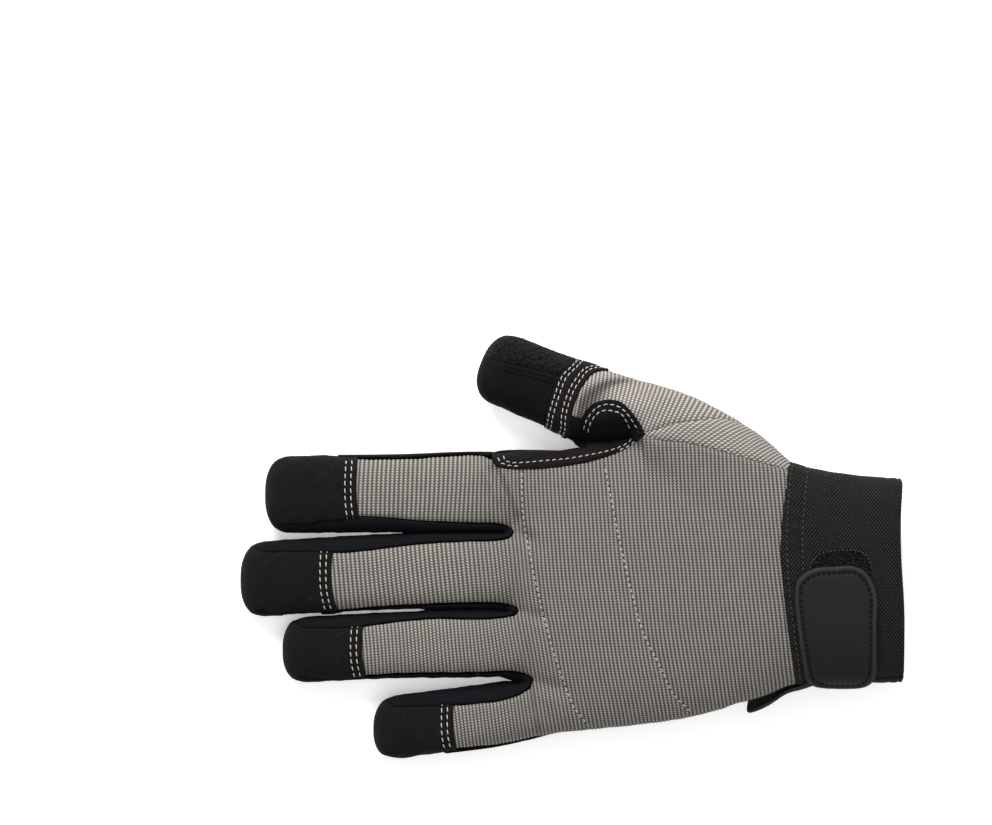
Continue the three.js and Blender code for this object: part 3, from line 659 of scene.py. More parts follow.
def filled(outline, lattice=None, spacing=1.2, rim=(0.3, 0.75, 1.5), edge=0.8):
    """Triangles inside a smooth closed outline: its edge, a few lines along it, and a lattice of points.

    Gives the points, the triangles and each point's distance from the edge.
    """
    loop = traced(outline, edge, closed=True)
    ring = closed_line(loop)
    inward = inward_from(loop)
    if lattice is None:
        low, high = loop.min(0), loop.max(0)
        rows = np.arange(low[1], high[1], spacing * 0.87)
        columns = np.arange(low[0], high[0], spacing)
        lattice = np.array([(x + (i % 2) * 0.5 * spacing, y) for i, y in enumerate(rows) for x in columns])
    groups = [loop]
    for depth in rim:
        line = loop + inward * depth
        gap, _ = beside(ring, line[:, 0], line[:, 1])
        groups.append(line[(gap > 0.93 * depth) & inside(loop, line)])
    lattice = lattice[inside(loop, lattice)]
    gap, _ = beside(ring, lattice[:, 0], lattice[:, 1])
    groups.append(lattice[gap > rim[-1] + 0.45 * spacing])
    points = np.vstack(groups)
    count = len(loop)
    flat = [Vector(point) for point in points.tolist()]
    edges = [(i, (i + 1) % count) for i in range(count)]
    made = delaunay_2d_cdt(flat, edges, [list(range(count))], 1, 1e-4)
    points = np.array([tuple(point) for point in made[0]])
    gap, _ = beside(ring, points[:, 0], points[:, 1])
    return points, np.array([tuple(face) for face in made[2]]), gap


def hemmed(gap, thickness, edge=0.7):
    """How far the outside of a sewn-on piece stands out, by the distance from its edge."""
    return (thickness + TURNED_IN) * rounded(gap, edge) - TURNED_IN


class Chart:
    """A tube's outside laid flat: millimetres along the tube, and round it from one angle of its section."""

    def __init__(self, tube, half, rise, zero, sense):
        self.tube = tube
        self.zero = zero
        self.angles = np.radians(np.linspace(zero - 230, zero + 230, 1400))
        power = 2 / tube.fullness
        across = half * powered(np.cos(self.angles), power)
        up = rise * powered(np.sin(self.angles), power)
        round_it = lengths_along(np.stack((across, up), 1))
        self.round_it = sense * (round_it - np.interp(math.radians(zero), self.angles, round_it))
        self.sense = sense

    def angle(self, around):
        order = slice(None, None, self.sense)
        return np.interp(around, self.round_it[order], self.angles[order])

    def around(self, angle):
        return np.interp(angle, self.angles, self.round_it)

    def of_plan(self, x, y, under=False):
        """Place on the chart of a point of the plan, on the top or the underside."""
        s, t = self.tube.project(np.asarray(x, float), np.asarray(y, float))
        t = np.clip(t, -1, 1)
        angle = np.arccos(powered(t, self.tube.fullness / 2))
        if under:
            angle = -angle if self.zero < 180 else 2 * math.pi - angle
        return np.stack((s, self.around(angle)), -1)

    def place(self, points, stand=0.0):
        return self.tube.at(points[:, 0], self.angle(points[:, 1]), stand)


THUMB_CHART = Chart(THUMB, 16, 12.5, 90, -1)
CUFF_CHART = Chart(HAND, 38.3, 12.9, 180, -1)


def on_thumb(points):
    """Places of the thumb's chart on the glove, filleted where the thumb meets the hand."""
    place = THUMB_CHART.place(points)
    x, y, z = place.T
    upper = np.sin(THUMB_CHART.angle(points[:, 1]))
    sunk = thumb_relief(x, y) * ease(np.maximum(upper, 0) ** (2 / THUMB.fullness), 0, 0.3)
    top = soft_max(z + sunk, hand_top(x, y), 3.0)
    return np.stack((x, y, np.where(upper > 0, top, z)), 1)


def off_thumb(points, stand):
    """Places of the thumb's chart moved off the glove, along the directions in which it faces."""
    step = 0.35
    along = on_thumb(points + (step, 0)) - on_thumb(points - (step, 0))
    around = on_thumb(points + (0, step)) - on_thumb(points - (0, step))
    return on_thumb(points) + unit(np.cross(along, around)) * np.asarray(stand)[:, None]


# Materials

def linear(colour):
    """A linear colour from an sRGB hex value."""
    channels = [(colour >> shift & 255) / 255 for shift in (16, 8, 0)]
    return tuple(c / 12.92 if c <= 0.04045 else ((c + 0.055) / 1.055) ** 2.4 for c in channels) + (1.0,)


class Finish:
    """A material in the making, and short ways to add nodes to it."""

    def __init__(self, name):
        self.material = bpy.data.materials.new(name)
        self.material.use_nodes = True
        self.tree = self.material.node_tree
        self.tree.nodes.clear()

    def add(self, kind, inputs=None, output=0, **settings):
        """Adds a node with its settings. An input is a value or another node's output."""
        made = self.tree.nodes.new("ShaderNode" + kind)
        for name, value in settings.items():
            setattr(made, name, value)
        for socket, value in (inputs or {}).items():
            if isinstance(value, bpy.types.NodeSocket):
                self.tree.links.new(value, made.inputs[socket])
            else:
                made.inputs[socket].default_value = value
        return made.outputs[output] if len(made.outputs) else made

    def math(self, operation, *values):
        return self.add("Math", dict(enumerate(values)), operation=operation)

    def scaled(self, value, factor, offset):
        """A value times a factor, and an offset on top."""
        return self.math("MULTIPLY_ADD", value, factor, offset)

    def spread(self, value, low, high, to_low=0.0, to_high=1.0):
        """A value's range from low to high, spread over another."""
        return self.add("MapRange", {"Value": value, "From Min": low, "From Max": high, "To Min": to_low,
                                     "To Max": to_high})

    def swell(self, turns):
        """1 at each whole turn and 0 half way between them."""
        return self.scaled(self.math("COSINE", self.math("MULTIPLY", turns, 2 * math.pi)), 0.5, 0.5)

    def millimetres(self):
        """Object coordinates in millimetres."""
        place = self.add("TexCoord", output="Object")
        return self.add("VectorMath", {0: place, 1: (1000, 1000, 1000)}, operation="MULTIPLY")

    def weave_axes(self):
        """The two directions of the cloth's own UV map."""
        cloth = self.add("UVMap", uv_map="cloth")
        return self.add("SeparateXYZ", {0: cloth}), self.add("SeparateXYZ", {0: cloth}, output=1)

    def noise(self, scale, detail, **more):
        """Noise, its scale counted for each millimetre."""
        return self.add("TexNoise", {"Vector": self.millimetres(), "Scale": scale, "Detail": detail, **more})

    def shaded(self, colour, tone):
        """A colour made paler or darker by a tone."""
        if isinstance(colour, tuple):
            colour = colour[:3]
        return self.add("VectorMath", {0: colour, "Scale": tone}, operation="SCALE")

    def done(self, colour, height, depth, roughness, shine, more=None):
        """Ends the material. Its height stands out on it by a depth in millimetres."""
        bump = self.add("Bump", {"Height": height, "Distance": depth * MM, "Strength": 1.0})
        shader = self.add("BsdfPrincipled", {"Base Color": colour, "Normal": bump, "Roughness": roughness,
                                             "Specular IOR Level": shine, **(more or {})})
        self.add("OutputMaterial", {"Surface": shader})
        return self.material


def knit_material(name, pale, dark):
    """Ribbed polyester knit: round ribs 1.4 to 1.7 mm apart, each a string of slanted loops 1 mm long, pale
    on the ribs, with painted shade in the grooves between ribs and between loops, and a dull soft surface."""
    finish = Finish(name)
    rib, loop = finish.weave_axes()
    fuzz = finish.noise(2.6, 3.0)
    ridge = finish.swell(rib)
    across = finish.math("FRACT", finish.math("ADD", rib, 0.5))
    bead = finish.swell(finish.scaled(across, -0.55, loop))
    valley = finish.spread(ridge, 0.05, 0.95)
    # painted shade: the grooves between the ribs take the darker colour
    colour = finish.add("Mix", {0: valley, 6: dark, 7: pale}, output=2, data_type="RGBA")
    # painted shade: darker between the slanted loops of each rib
    painted_loop_shade = finish.scaled(finish.spread(bead, 0.1, 0.75), 0.72, 0.42)
    tone = finish.math("MULTIPLY", painted_loop_shade, finish.scaled(finish.noise(0.16, 2.0), 0.16, 0.92))
    tone = finish.math("MULTIPLY", tone, finish.scaled(fuzz, 0.3, 0.85))
    along_glove = finish.add("SeparateXYZ", {0: finish.millimetres()})
    tone = finish.math("MULTIPLY", tone, finish.spread(along_glove, -50, -22, 1.16, 1.0))
    height = finish.scaled(fuzz, 0.35, finish.math("MULTIPLY", bead, ridge))
    return finish.done(finish.shaded(colour, tone), height, 0.2, 0.9, 0.2)


def suede_material(name, black):
    """Microfibre suede: a short dense nap that hardly shines, with pale specks of dust and lint."""
    finish = Finish(name)
    nap = finish.noise(1.7, 5.0, Roughness=0.75)
    patches = finish.scaled(finish.noise(0.12, 3.0), 0.4, 0.8)
    tone = finish.math("MULTIPLY", finish.spread(nap, 0.3, 0.7, 0.35, 1.5), patches)
    speck = finish.spread(finish.noise(1.1, 1.0), 0.71, 0.78)
    tone = finish.scaled(speck, 2.5, tone)
    return finish.done(finish.shaded(black, tone), nap, 0.3, 0.95, 0.1,
                       {"Sheen Weight": 0.012, "Sheen Roughness": 0.4})


def stretch_material(name, black):
    """Smooth stretch knit: too fine to show its loops, so it looks like dull blue black film with small
    creases."""
    finish = Finish(name)
    grain = finish.noise(3.0, 2.0)
    height = finish.scaled(finish.noise(0.35, 3.0, Distortion=0.6), 4.0, grain)
    return finish.done(finish.shaded(black, finish.scaled(grain, 0.4, 0.8)), height, 0.16, 0.8, 0.06)


def terry_material(name, black):
    """Terry cloth: uncut loops about 0.8 mm across, with painted highlights on their tops and painted shade
    between them.
    """
    finish = Finish(name)
    loops = finish.add("TexVoronoi", {"Vector": finish.millimetres(), "Scale": 1.25, "Randomness": 1.0})
    height = finish.scaled(finish.noise(2.4, 4.0), 0.8, finish.spread(loops, 0.1, 0.75, 1.0, 0.0))
    # painted highlights on the loops' tops and painted shade between them, by the loops' height
    tone = finish.spread(height, 0.4, 1.4, 0.1, 2.2)
    return finish.done(finish.shaded(black, tone), height, 0.75, 0.95, 0.1,
                       {"Sheen Weight": 0.02, "Sheen Roughness": 0.5})


def elastic_material(name, black):
    """Woven elastic: small tight floats in slanting rows about 1 mm apart, which read as a field of dull
    dots."""
    finish = Finish(name)
    along, around = finish.weave_axes()
    waves = []
    for lean, pitch in ((38, 1.02), (142, 0.96)):
        turn = math.pi / pitch
        wave = finish.math("MULTIPLY", around, turn * math.sin(math.radians(lean)))
        wave = finish.scaled(along, turn * math.cos(math.radians(lean)), wave)
        waves.append(finish.math("ABSOLUTE", finish.math("SINE", wave)))
    dot = finish.math("MULTIPLY", *waves)
    lint = finish.scaled(finish.noise(1.4, 3.0), 1.8, 0.1)
    tone = finish.math("MULTIPLY", finish.spread(dot, 0.2, 0.9, 0.15, 1.7), lint)
    return finish.done(finish.shaded(black, tone), dot, 0.32, 0.85, 0.1)


def pile_material(name, black):
    """Loop pile of a touch closure: a black felted tangle, deeper than it is shiny, with small painted
    highlights on its fibres.
    """
    finish = Finish(name)
    tangle = finish.noise(1.5, 5.0, Roughness=0.75, Distortion=1.0)
    # painted highlights: pale specks where the tangle is highest
    tone = finish.spread(tangle, 0.5, 0.7, 0.2, 16.0)
    return finish.done(finish.shaded(black, tone), tangle, 0.7, 1.0, 0.1)


def rubber_material(name, slate):
    """Moulded soft rubber: an even slate grey with a faint mould grain, a broad dull shine and a painted
    highlight that makes its rim paler."""
    finish = Finish(name)
    from_edge, _ = finish.weave_axes()
    bloom = finish.scaled(finish.noise(0.08, 2.0), 0.3, 0.85)
    # painted highlight: paler within about 2 mm of the tab's edge, read from the cloth map
    tone = finish.scaled(finish.spread(from_edge, 1.2, 2.0, 1.0, 0.0), 1.9, bloom)
    return finish.done(finish.shaded(slate, tone), finish.noise(3.2, 2.0), 0.025, 0.62, 0.15, {"IOR": 1.5})


def thread_material(name, colour):
    """Spun polyester sewing thread: matt, with the twist of its plies too fine to show."""
    finish = Finish(name)
    plies = finish.noise(3.0, 2.0)
    return finish.done(finish.shaded(colour, finish.scaled(plies, 0.3, 0.85)), plies, 0.05, 0.8, 0.15)


def paper_material(name, white):
    """Matt white paper over a lit table, so that the glove's shadow stays pale."""
    finish = Finish(name)
    return finish.done(white, finish.noise(0.6, 3.0), 0.02, 0.9, 0.2,
                       {"Emission Color": WHITE, "Emission Strength": 0.35})


# Back of the hand

# Spacing of the ribs along each finger and then over the hand, and how the ribs lean on each finger
RIB_PITCH = {
    "index": ((-98, 1.68), (-45, 1.64), (-32, 1.5)),
    "middle": ((-98, 1.66), (-42, 1.68), (-30, 1.5)),
    "ring": ((-98, 1.42), (-42, 1.41), (-30, 1.4)),
    "little": ((-98, 1.36), (-42, 1.34), (-30, 1.36)),
}
HAND_PITCH = ((-22, 1.42), (-5, 1.47), (20, 1.49), (50, 1.5), (70, 1.55), (100, 1.57))
RIB_ZERO = -22.0
FINGER_LEAN = {"index": (20, 88), "middle": (-10, 95), "ring": (-38, 95), "little": (-66, 99)}
HAND_LEAN = ((-80, 100), (-50, 99), (-30, 98), (-10, 97), (10, 95.5), (25, 93), (50, 92))
LOOP_PITCH = 1.06
RIB_STEP = 0.25  # rows of points to a rib
SHARE_STARTS = {"index": -84, "middle": -93, "ring": -82, "little": -47.5}
SHARE_COLUMNS = {"index": 25, "middle": 24, "ring": 21, "little": 19}
CROTCHES = {seam: SEAM_LINES[seam][-1][0] for seam in (*BEHIND_CROTCH, *HIGH_BEHIND)}
UNDER_CUFF = 87.0  # where the knit ends, inside the cuff
WALL_TOP = 8.3  # height at which the back's side wall meets the palm's


def quarter_ribs(phase, places):
    """Each quarter rib within a count of ribs, and its place."""
    steps = np.arange(math.ceil(phase[0] / RIB_STEP), math.floor(phase[-1] / RIB_STEP)) * RIB_STEP
    return steps, np.interp(steps, phase, places)


def rib_rows(name):
    """Ribs counted along one finger's share of the back, and the place of each quarter rib."""
    table = RIB_PITCH[name] + HAND_PITCH
    fine = np.arange(table[0][0], table[-1][0], 0.08)
    fine = np.sort(np.append(fine, RIB_ZERO))
    phase = np.concatenate(([0], np.cumsum(np.diff(fine) / np.interp(fine[1:], *zip(*table)))))
    phase -= np.interp(RIB_ZERO, fine, phase)
    return quarter_ribs(phase, fine)


def rib_lean(name, x, y):
    """How far along the hand a rib has moved, by its place across it."""
    fine = np.linspace(HAND_LEAN[0][0], HAND_LEAN[-1][0], 400)
    slope = -np.tan(np.radians(read_off(HAND_LEAN, fine) - 90))
    moved = np.concatenate(([0], np.cumsum(slope[1:] * np.diff(fine))))
    moved -= np.interp(20, fine, moved)
    middle, lean = FINGER_LEAN[name]
    ahead = np.interp(middle, fine, moved) - math.tan(math.radians(lean - 90)) * (y - middle)
    behind = ease(x, -44, -25)
    wave = 0.3 * np.sin(y / 15 + x / 34) + 0.12 * np.sin(y / 6.3 - x / 11)
    return behind * np.interp(y, fine, moved) + (1 - behind) * ahead + wave


def rib_height(phase, depth):
    """A rib's round back, from half its depth above the middle to half below it in the groove."""
    return depth * 0.5 * np.cos(2 * math.pi * phase)


def border(name, x):
    """Where a share of the back ends across the hand, ahead of the fingers' crotch and behind it."""
    y = read_off(SEAM_LINES[name], x)
    behind = BEHIND_CROTCH.get(HIGH_BEHIND.get(name, name))
    return np.where(x > SEAM_LINES[name][-1][0], read_off(behind, x), y) if behind else y


def ahead_of_crotch(seam, x):
    """1 where a seam of the back runs ahead of the fingers' crotch, and 0 behind it."""
    return 1 - ease(x, CROTCHES[seam] - 1, CROTCHES[seam] + 2.5) if seam in CROTCHES else 1.0


def past_cuff_seam(x, y):
    """How far places of the plan lie beyond the seam of the hand with the cuff."""
    return x - x_on(CUFF_SEAM, y)


def side_of(tubes, x, z, sign):
    """Where the tubes' side stands at a height: on the thumb side for sign 1, else the little finger's."""
    furthest = np.full(np.shape(x), -1e3)
    for tube in tubes:
        half, rise, middle, _ = tube.section(x)
        reach = half * superellipse(np.clip((z - middle) / rise, -1, 1), tube.fullness)
        reach = sign * tube.read(tube.y, x) + reach
        furthest = np.maximum(furthest, np.where((x > tube.s[0]) & (x < tube.s[-1] + 1), reach, -1e3))
    return sign * furthest


def uneven(points, wavelength, seed):
    """A smooth random-looking number from -1 to 1 for each place."""
    k = 2 * math.pi / wavelength
    x, y = points[..., 0], points[..., 1]
    first = np.sin(k * x + seed) * np.cos(0.8 * k * y + 1.3 * seed)
    second = np.sin(1.9 * k * y + 2.1 + seed) * np.cos(1.7 * k * x - 0.7 * seed)
    third = np.sin(0.61 * k * (x + y) + 3.3 * seed)
    return (first + 0.6 * second + 0.6 * third) / 1.8


def resampled(net, shares):
    """Each row of a net sampled again at shares of its length, with the length from its start."""
    steps = np.linalg.norm(np.diff(net, axis=1), axis=2)
    along = np.concatenate((np.zeros((len(net), 1)), np.cumsum(steps, 1)), 1)
    made = np.empty((len(net), len(shares), 3))
    length = along[:, -1:] * shares
    for row in range(len(net)):
        for axis in range(3):
            made[row, :, axis] = np.interp(length[row], along[row], net[row, :, axis])
    return made, length


def bunched(count, amount=0.5):
    """Shares from 0 to 1 that lie closer together near both ends."""
    even = np.linspace(0, 1, count)
    return (1 - amount) * even + amount * (0.5 - 0.5 * np.cos(math.pi * even))


def across_share(name, high, low):
    """One finger's share of the back: its points, and ribs and loops counted over it."""
    phases, rows = rib_rows(name)
    middle = (border(high, rows) + border(low, rows)) / 2
    there = rows + rib_lean(name, rows, middle)
    kept = (there > SHARE_STARTS[name]) & (there < UNDER_CUFF)
    phases, rows = phases[kept], rows[kept][:, None]
    shares = bunched(90, 0.8)
    x = rows + 0 * shares
    for _ in range(3):
        y = border(high, x) * (1 - shares) + border(low, x) * shares
        x = rows + rib_lean(name, rows, y)
    net, length = resampled(on_top(x, y), bunched(SHARE_COLUMNS[name]))
    return net, length, phases


def make_back_panel(sizes):
    """The knit back in one sheet: four fingers' shares that meet behind the crotches."""
    points, faces, cloth = [], [], []
    start = 0
    loops_before = phases_before = None
    for name, high, low in SHARES:
        net, length, phases = across_share(name, high, low)
        x, y = net[..., 0], net[..., 1]
        from_low = length[:, -1:] - length
        flat = np.maximum(ahead_of_crotch(high, x) * bell(length, 0.8),
                          ahead_of_crotch(low, x) * bell(from_low, 0.8))
        behind_cap = x - x_on(CAP_EDGES[name], y)
        tucked = 1.2 * (1 - ease(behind_cap, -1.2, 0.3)) + 1.3 * ease(past_cuff_seam(x, y), -0.6, 1.2)
        lift = rib_height(phases[:, None], sizes.rib_depth / MM) * (1 - flat) - 0.75 * flat - tucked
        lift += 0.12 * uneven(net, 9.0, 1.0)
        placed = net + top_facing(x, y) * lift[..., None]
        if high in CROTCHES and loops_before is not None:
            loops = length + np.interp(phases, phases_before, loops_before)[:, None]
        else:
            middle = length.shape[1] // 2
            loops = length - length[:, middle:middle + 1] - y[:, middle:middle + 1]
        loops_before, phases_before = loops[:, -1], phases
        if name == "little":
            placed, loops = with_skirt(placed, loops, net[:, -1])
        rows, columns = placed.shape[:2]
        points.append(placed.reshape(-1, 3))
        faces.append(grid_faces(rows, columns, start))
        ribs = np.broadcast_to(phases[:, None], (rows, columns))
        cloth.append(np.stack((ribs, loops / LOOP_PITCH), -1).reshape(-1, 2))
        start += rows * columns
    piece = add_cloth("back_panel", np.vstack(points), np.vstack(faces), np.vstack(cloth))
    return made_up(piece, KNIT, (0, 0, 1), 0.05)


def with_skirt(placed, loops, edge):
    """Carries the little finger's share on over its silhouette, down to the palm's side wall."""
    x, _, z = edge.T
    tubes = (FINGER_TUBES["little"], HAND)
    columns, counts = [placed], [loops]
    for step in range(1, 7):
        level = z + (np.minimum(WALL_TOP, z) - z) * step / 6
        off = side_of(tubes, x, level, -1) - side_of(tubes, x, z, -1)
        column = np.stack((placed[:, -1, 0], placed[:, -1, 1] + off, placed[:, -1, 2] + level - z), -1)
        columns.append(column[:, None])
        counts.append(loops[:, -1:] + (z - level)[:, None])
    return np.concatenate(columns, 1), np.concatenate(counts, 1)


# Fingertip caps and the strips between the fingers

# Each strip's two fingers with their seams and sides. Then, in the plan, the turn of its silhouette at the
# crotch, where along the fingers they begin to touch, and how much further apart they are ahead of that.
WEBS = {
    "index_middle": (("index", "index_low", -1), ("middle", "middle_high", 1), (-27.5, 5.35, -58, 0)),
    "middle_ring": (("middle", "middle_low", -1), ("ring", "ring_high", 1), (-25.5, -24.1, -52, 0.35)),
    "ring_little": (("ring", "ring_low", -1), ("little", "little_high", 1), (-19.6, -51.3, 0, 0)),
}
WEB_STARTS = {"index_low": -112.4, "middle_high": -121.6, "middle_low": -121.6, "ring_high": -105.8,
              "ring_low": -105.8, "little_high": -71.6}
WEB_LEVEL = 8.0  # height of a strip's silhouette
WEB_UNDER = 0.8  # how far a strip runs in under the finger, as a share of its width above


def tip_rows(length, curved, count_curved, count_straight):
    """Shares of the depth from a tip, close together where it curves."""
    turn = np.linspace(0, math.pi / 2, count_curved)
    straight = np.linspace(curved, length, count_straight + 1)[1:]
    return np.concatenate((curved * (1 - np.cos(turn)), straight)) / length


def cap_ends(name, angles):
    """Where a cap's cut edge runs, at angles of the finger's section."""
    tube = FINGER_TUBES[name]
    middle = CAP_EDGES[name][1][0]
    across = tube.read(tube.y, middle) + tube.read(tube.half, middle) * np.cos(angles)
    over = x_on(CAP_EDGES[name], across)
    return over - CAP_PALM_SHORTER * ease(-np.sin(angles), -0.3, 0.5)


def strip_over(name, x, y, over):
    """How much of a place on a fingertip the strips between the fingers cover, from 0 to 1.

    over tells the places on the finger's upper side from those under it.
    """
    covered = np.zeros(np.shape(x))
    for first, second, turn in WEBS.values():
        for (finger, seam, sign), other in ((first, second[0]), (second, first[0])):
            if finger == name:
                upper, edge = web_side(finger, seam, sign, other, turn)
                seam_y, edge_y = np.interp(x, *upper.T), np.interp(x, *edge.T)
                line = np.where(over, seam_y, edge_y + WEB_UNDER * (seam_y - edge_y))
                begun = ease(x, WEB_STARTS[seam], WEB_STARTS[seam] + 3)
                covered = np.maximum(covered, ease(sign * (y - line), -0.4, 0.4) * begun)
    return covered


def make_cap(name):
    """A suede cap drawn over a fingertip: closed at the tip, with a cut edge lapped over the knit."""
    tube = FINGER_TUBES[name]
    angles = all_round(160)
    start = tube.s[0]
    ends = cap_ends(name, angles) - start
    near_edge = 1 - np.array((1.2, 0.8, 0.45, 0.2, 0.0)) / ends.mean()
    depth = np.concatenate((tip_rows(ends.mean(), 11.5, 15, 26)[:-1], near_edge))
    depth = np.unique(np.clip(depth, 0, 1))[:, None]
    s = start + depth * ends
    from_edge = (1 - depth) * ends
    stand = 0.55 * ease(s - start, 0, 3) - 0.5 * np.clip(1 - from_edge / 0.45, 0, 1) ** 2
    stand -= grooves(from_edge, CAP_INSETS, 0.3, 0.65)
    place = np.stack((s, angles * tube.read(tube.half, s)), -1)
    stand += (0.28 * uneven(place, 17.0, len(name)) + 0.1 * uneven(place, 6.0, 2.0)) * ease(s - start, 1, 6)
    flat = tube.at(s, angles)
    stand -= 1.3 * strip_over(name, flat[..., 0], flat[..., 1], np.sin(angles) > 0)
    points = tube.at(s, angles, stand)
    piece = add_cloth(f"fingertip_cap_{name}", points, grid_faces(*s.shape, closed=True))
    return made_up(piece, SUEDE, gap=0.02)


def web_side(finger, seam, sign, other, turn):
    """Seam and silhouette of one finger's side, from the fingertip to near the turn at the crotch."""
    tube = FINGER_TUBES[finger]
    turn_x, turn_y, touching, apart = turn
    x = np.arange(WEB_STARTS[seam], turn_x - 0.4, 0.9)
    upper = border(seam, x)
    edge = tube.read(tube.y, x) + sign * tube.section(x)[0]
    beyond = FINGER_TUBES[other]
    facing_edge = beyond.read(beyond.y, x) - sign * beyond.section(np.maximum(x, beyond.s[0] + 0.1))[0]
    middle = (edge + facing_edge) / 2
    room = np.maximum(sign * (middle - edge) + apart, 0) * (1 - ease(x, touching - 8, touching))
    edge = np.where(x > beyond.s[0], middle - sign * room, edge)
    near_turn = ease(x, turn_x - 9, turn_x)
    edge = edge * (1 - near_turn) + (turn_y - sign * 0.15) * near_turn
    pinched = ease(x, x[0], x[0] + 5)
    upper = edge + (upper - edge) * np.maximum(pinched, 0.02)
    return np.stack((x, upper), 1), np.stack((x, edge), 1)


def web_lines(name):
    """The two lines of a strip between fingers: where it is sewn to the back, and its silhouette."""
    (first, first_seam, first_sign), (second, second_seam, second_sign), turn = WEBS[name]
    upper, edge = web_side(first, first_seam, first_sign, second, turn)
    upper_back, edge_back = web_side(second, second_seam, second_sign, first, turn)
    bend = [point for point in SEAM_LINES[first_seam] if point[0] > turn[0]]
    bend += [point for point in SEAM_LINES[second_seam][::-1] if point[0] > turn[0]][1:]
    around = traced(np.vstack((upper[-1:], bend, upper_back[-1:])), 0.5)[1:-1]
    sweep = np.linspace(math.pi / 2, -math.pi / 2, len(around))
    edge_turn = np.stack((turn[0] + 0.35 * np.cos(sweep) - 0.3, turn[1] + 0.15 * np.sin(sweep)), 1)
    return np.vstack((upper, around, upper_back[::-1])), np.vstack((edge, edge_turn, edge_back[::-1]))


def web_net(name):
    """A strip's points: out from its seam, down over its side and in under the finger."""
    upper, edge = web_lines(name)
    low = edge + WEB_UNDER * (upper - edge)
    rise = np.maximum(glove_top(*upper.T) - 0.55 - WEB_LEVEL, 0.4)
    drop = np.maximum(WEB_LEVEL - glove_bottom(*low.T) - 0.4, 0.4)
    rows = []
    for turn in np.linspace(0, math.pi / 2, 12):
        plan = upper + (edge - upper) * math.sin(turn)
        rows.append(np.column_stack((plan, WEB_LEVEL + rise * math.cos(turn))))
    for turn in np.linspace(0, math.pi / 2, 9)[1:]:
        plan = edge + (low - edge) * (1 - math.cos(turn))
        rows.append(np.column_stack((plan, WEB_LEVEL - drop * math.sin(turn))))
    return np.stack(rows, 1)


def make_fourchette(name):
    """A smooth strip between two fingers, which turns round at their crotch."""
    net = web_net(name)
    normal = unit(np.cross(np.gradient(net, axis=0), np.gradient(net, axis=1)))
    if normal[:, 0, 2].mean() < 0:
        normal = -normal
    free = np.sin(np.linspace(0, math.pi, net.shape[1])).clip(0) ** 0.5
    lift = 0.5 + 0.2 * uneven(net[..., ::2], 7.0, 2.0) * free
    net = net + normal * lift[..., None]
    piece = add_cloth(f"fourchette_{name}", net, grid_faces(*net.shape[:2]))
    return made_up(piece, STRETCH, (0, 0, 1), 0.01)


# Thumb

THUMB_RIBS = ((30, 1.38), (60, 1.38), (80, 1.5), (140, 1.52))
GUSSET_RIBS = ((60, 1.42), (140, 1.48))
THUMB_RADIUS = 12  # turns angles round the thumb into lengths


def chart_line(line, under=False):
    """A line of the plan on the thumb's chart."""
    line = np.asarray(line, float)
    return THUMB_CHART.of_plan(line[:, 0], line[:, 1], under)


def seam_round(line, angles):
    """Places along the thumb of a seam that goes all round it, from its line over the top."""
    place = chart_line(line)
    turn = THUMB_CHART.angle(place[:, 1])
    order = np.argsort(turn)
    folded = np.abs((np.asarray(angles) + math.pi) % (2 * math.pi) - math.pi)
    return smooth_at(turn[order], place[order, 0], folded)


def knitted(name, outline, pitch, lean, spacing, depth, tucked):
    """Ribbed knit inside an outline of the thumb's chart.

    lean gives how far a rib runs along the thumb for each millimetre round it, and tucked how far a place
    lies below the surface.
    """
    low, high = outline.min(0) - 1, outline.max(0) + 1
    along = np.linspace(low[0], high[0], 1200)
    counted = np.concatenate(([0], np.cumsum(np.diff(along) / read_off(pitch, along[1:]))))
    ribs = 1 / read_off(pitch, along)
    leaning = read_off(lean, along)
    lattice = []
    for around in np.arange(low[1], high[1], spacing):
        _, places = quarter_ribs(counted - leaning * ribs * around, along)
        lattice.append(np.column_stack((places, np.full(len(places), around))))
    flat, faces, gap = filled(outline, np.vstack(lattice), 0.35, rim=(0.35, 0.8))
    phase = np.interp(flat[:, 0], along, counted) - np.interp(flat[:, 0], along, leaning * ribs) * flat[:, 1]
    seam = bell(gap, 0.8)
    lift = rib_height(phase, depth) * (1 - seam) - 0.7 * seam + 0.12 * uneven(flat, 8.0, 3.0) - tucked(flat)
    return add_cloth(name, off_thumb(flat, lift), faces, np.column_stack((phase, flat[:, 1] / LOOP_PITCH)))


def side_at(line, height):
    """A line of the thumb's chart where its side is at a height above the floor."""
    s = np.asarray(line, float)
    _, rise, middle, _ = THUMB.section(s)
    up = np.clip((height - middle) / rise, -0.98, 0.98)
    angle = np.arcsin(powered(up, THUMB.fullness / 2))
    return np.column_stack((s, THUMB_CHART.around(angle)))


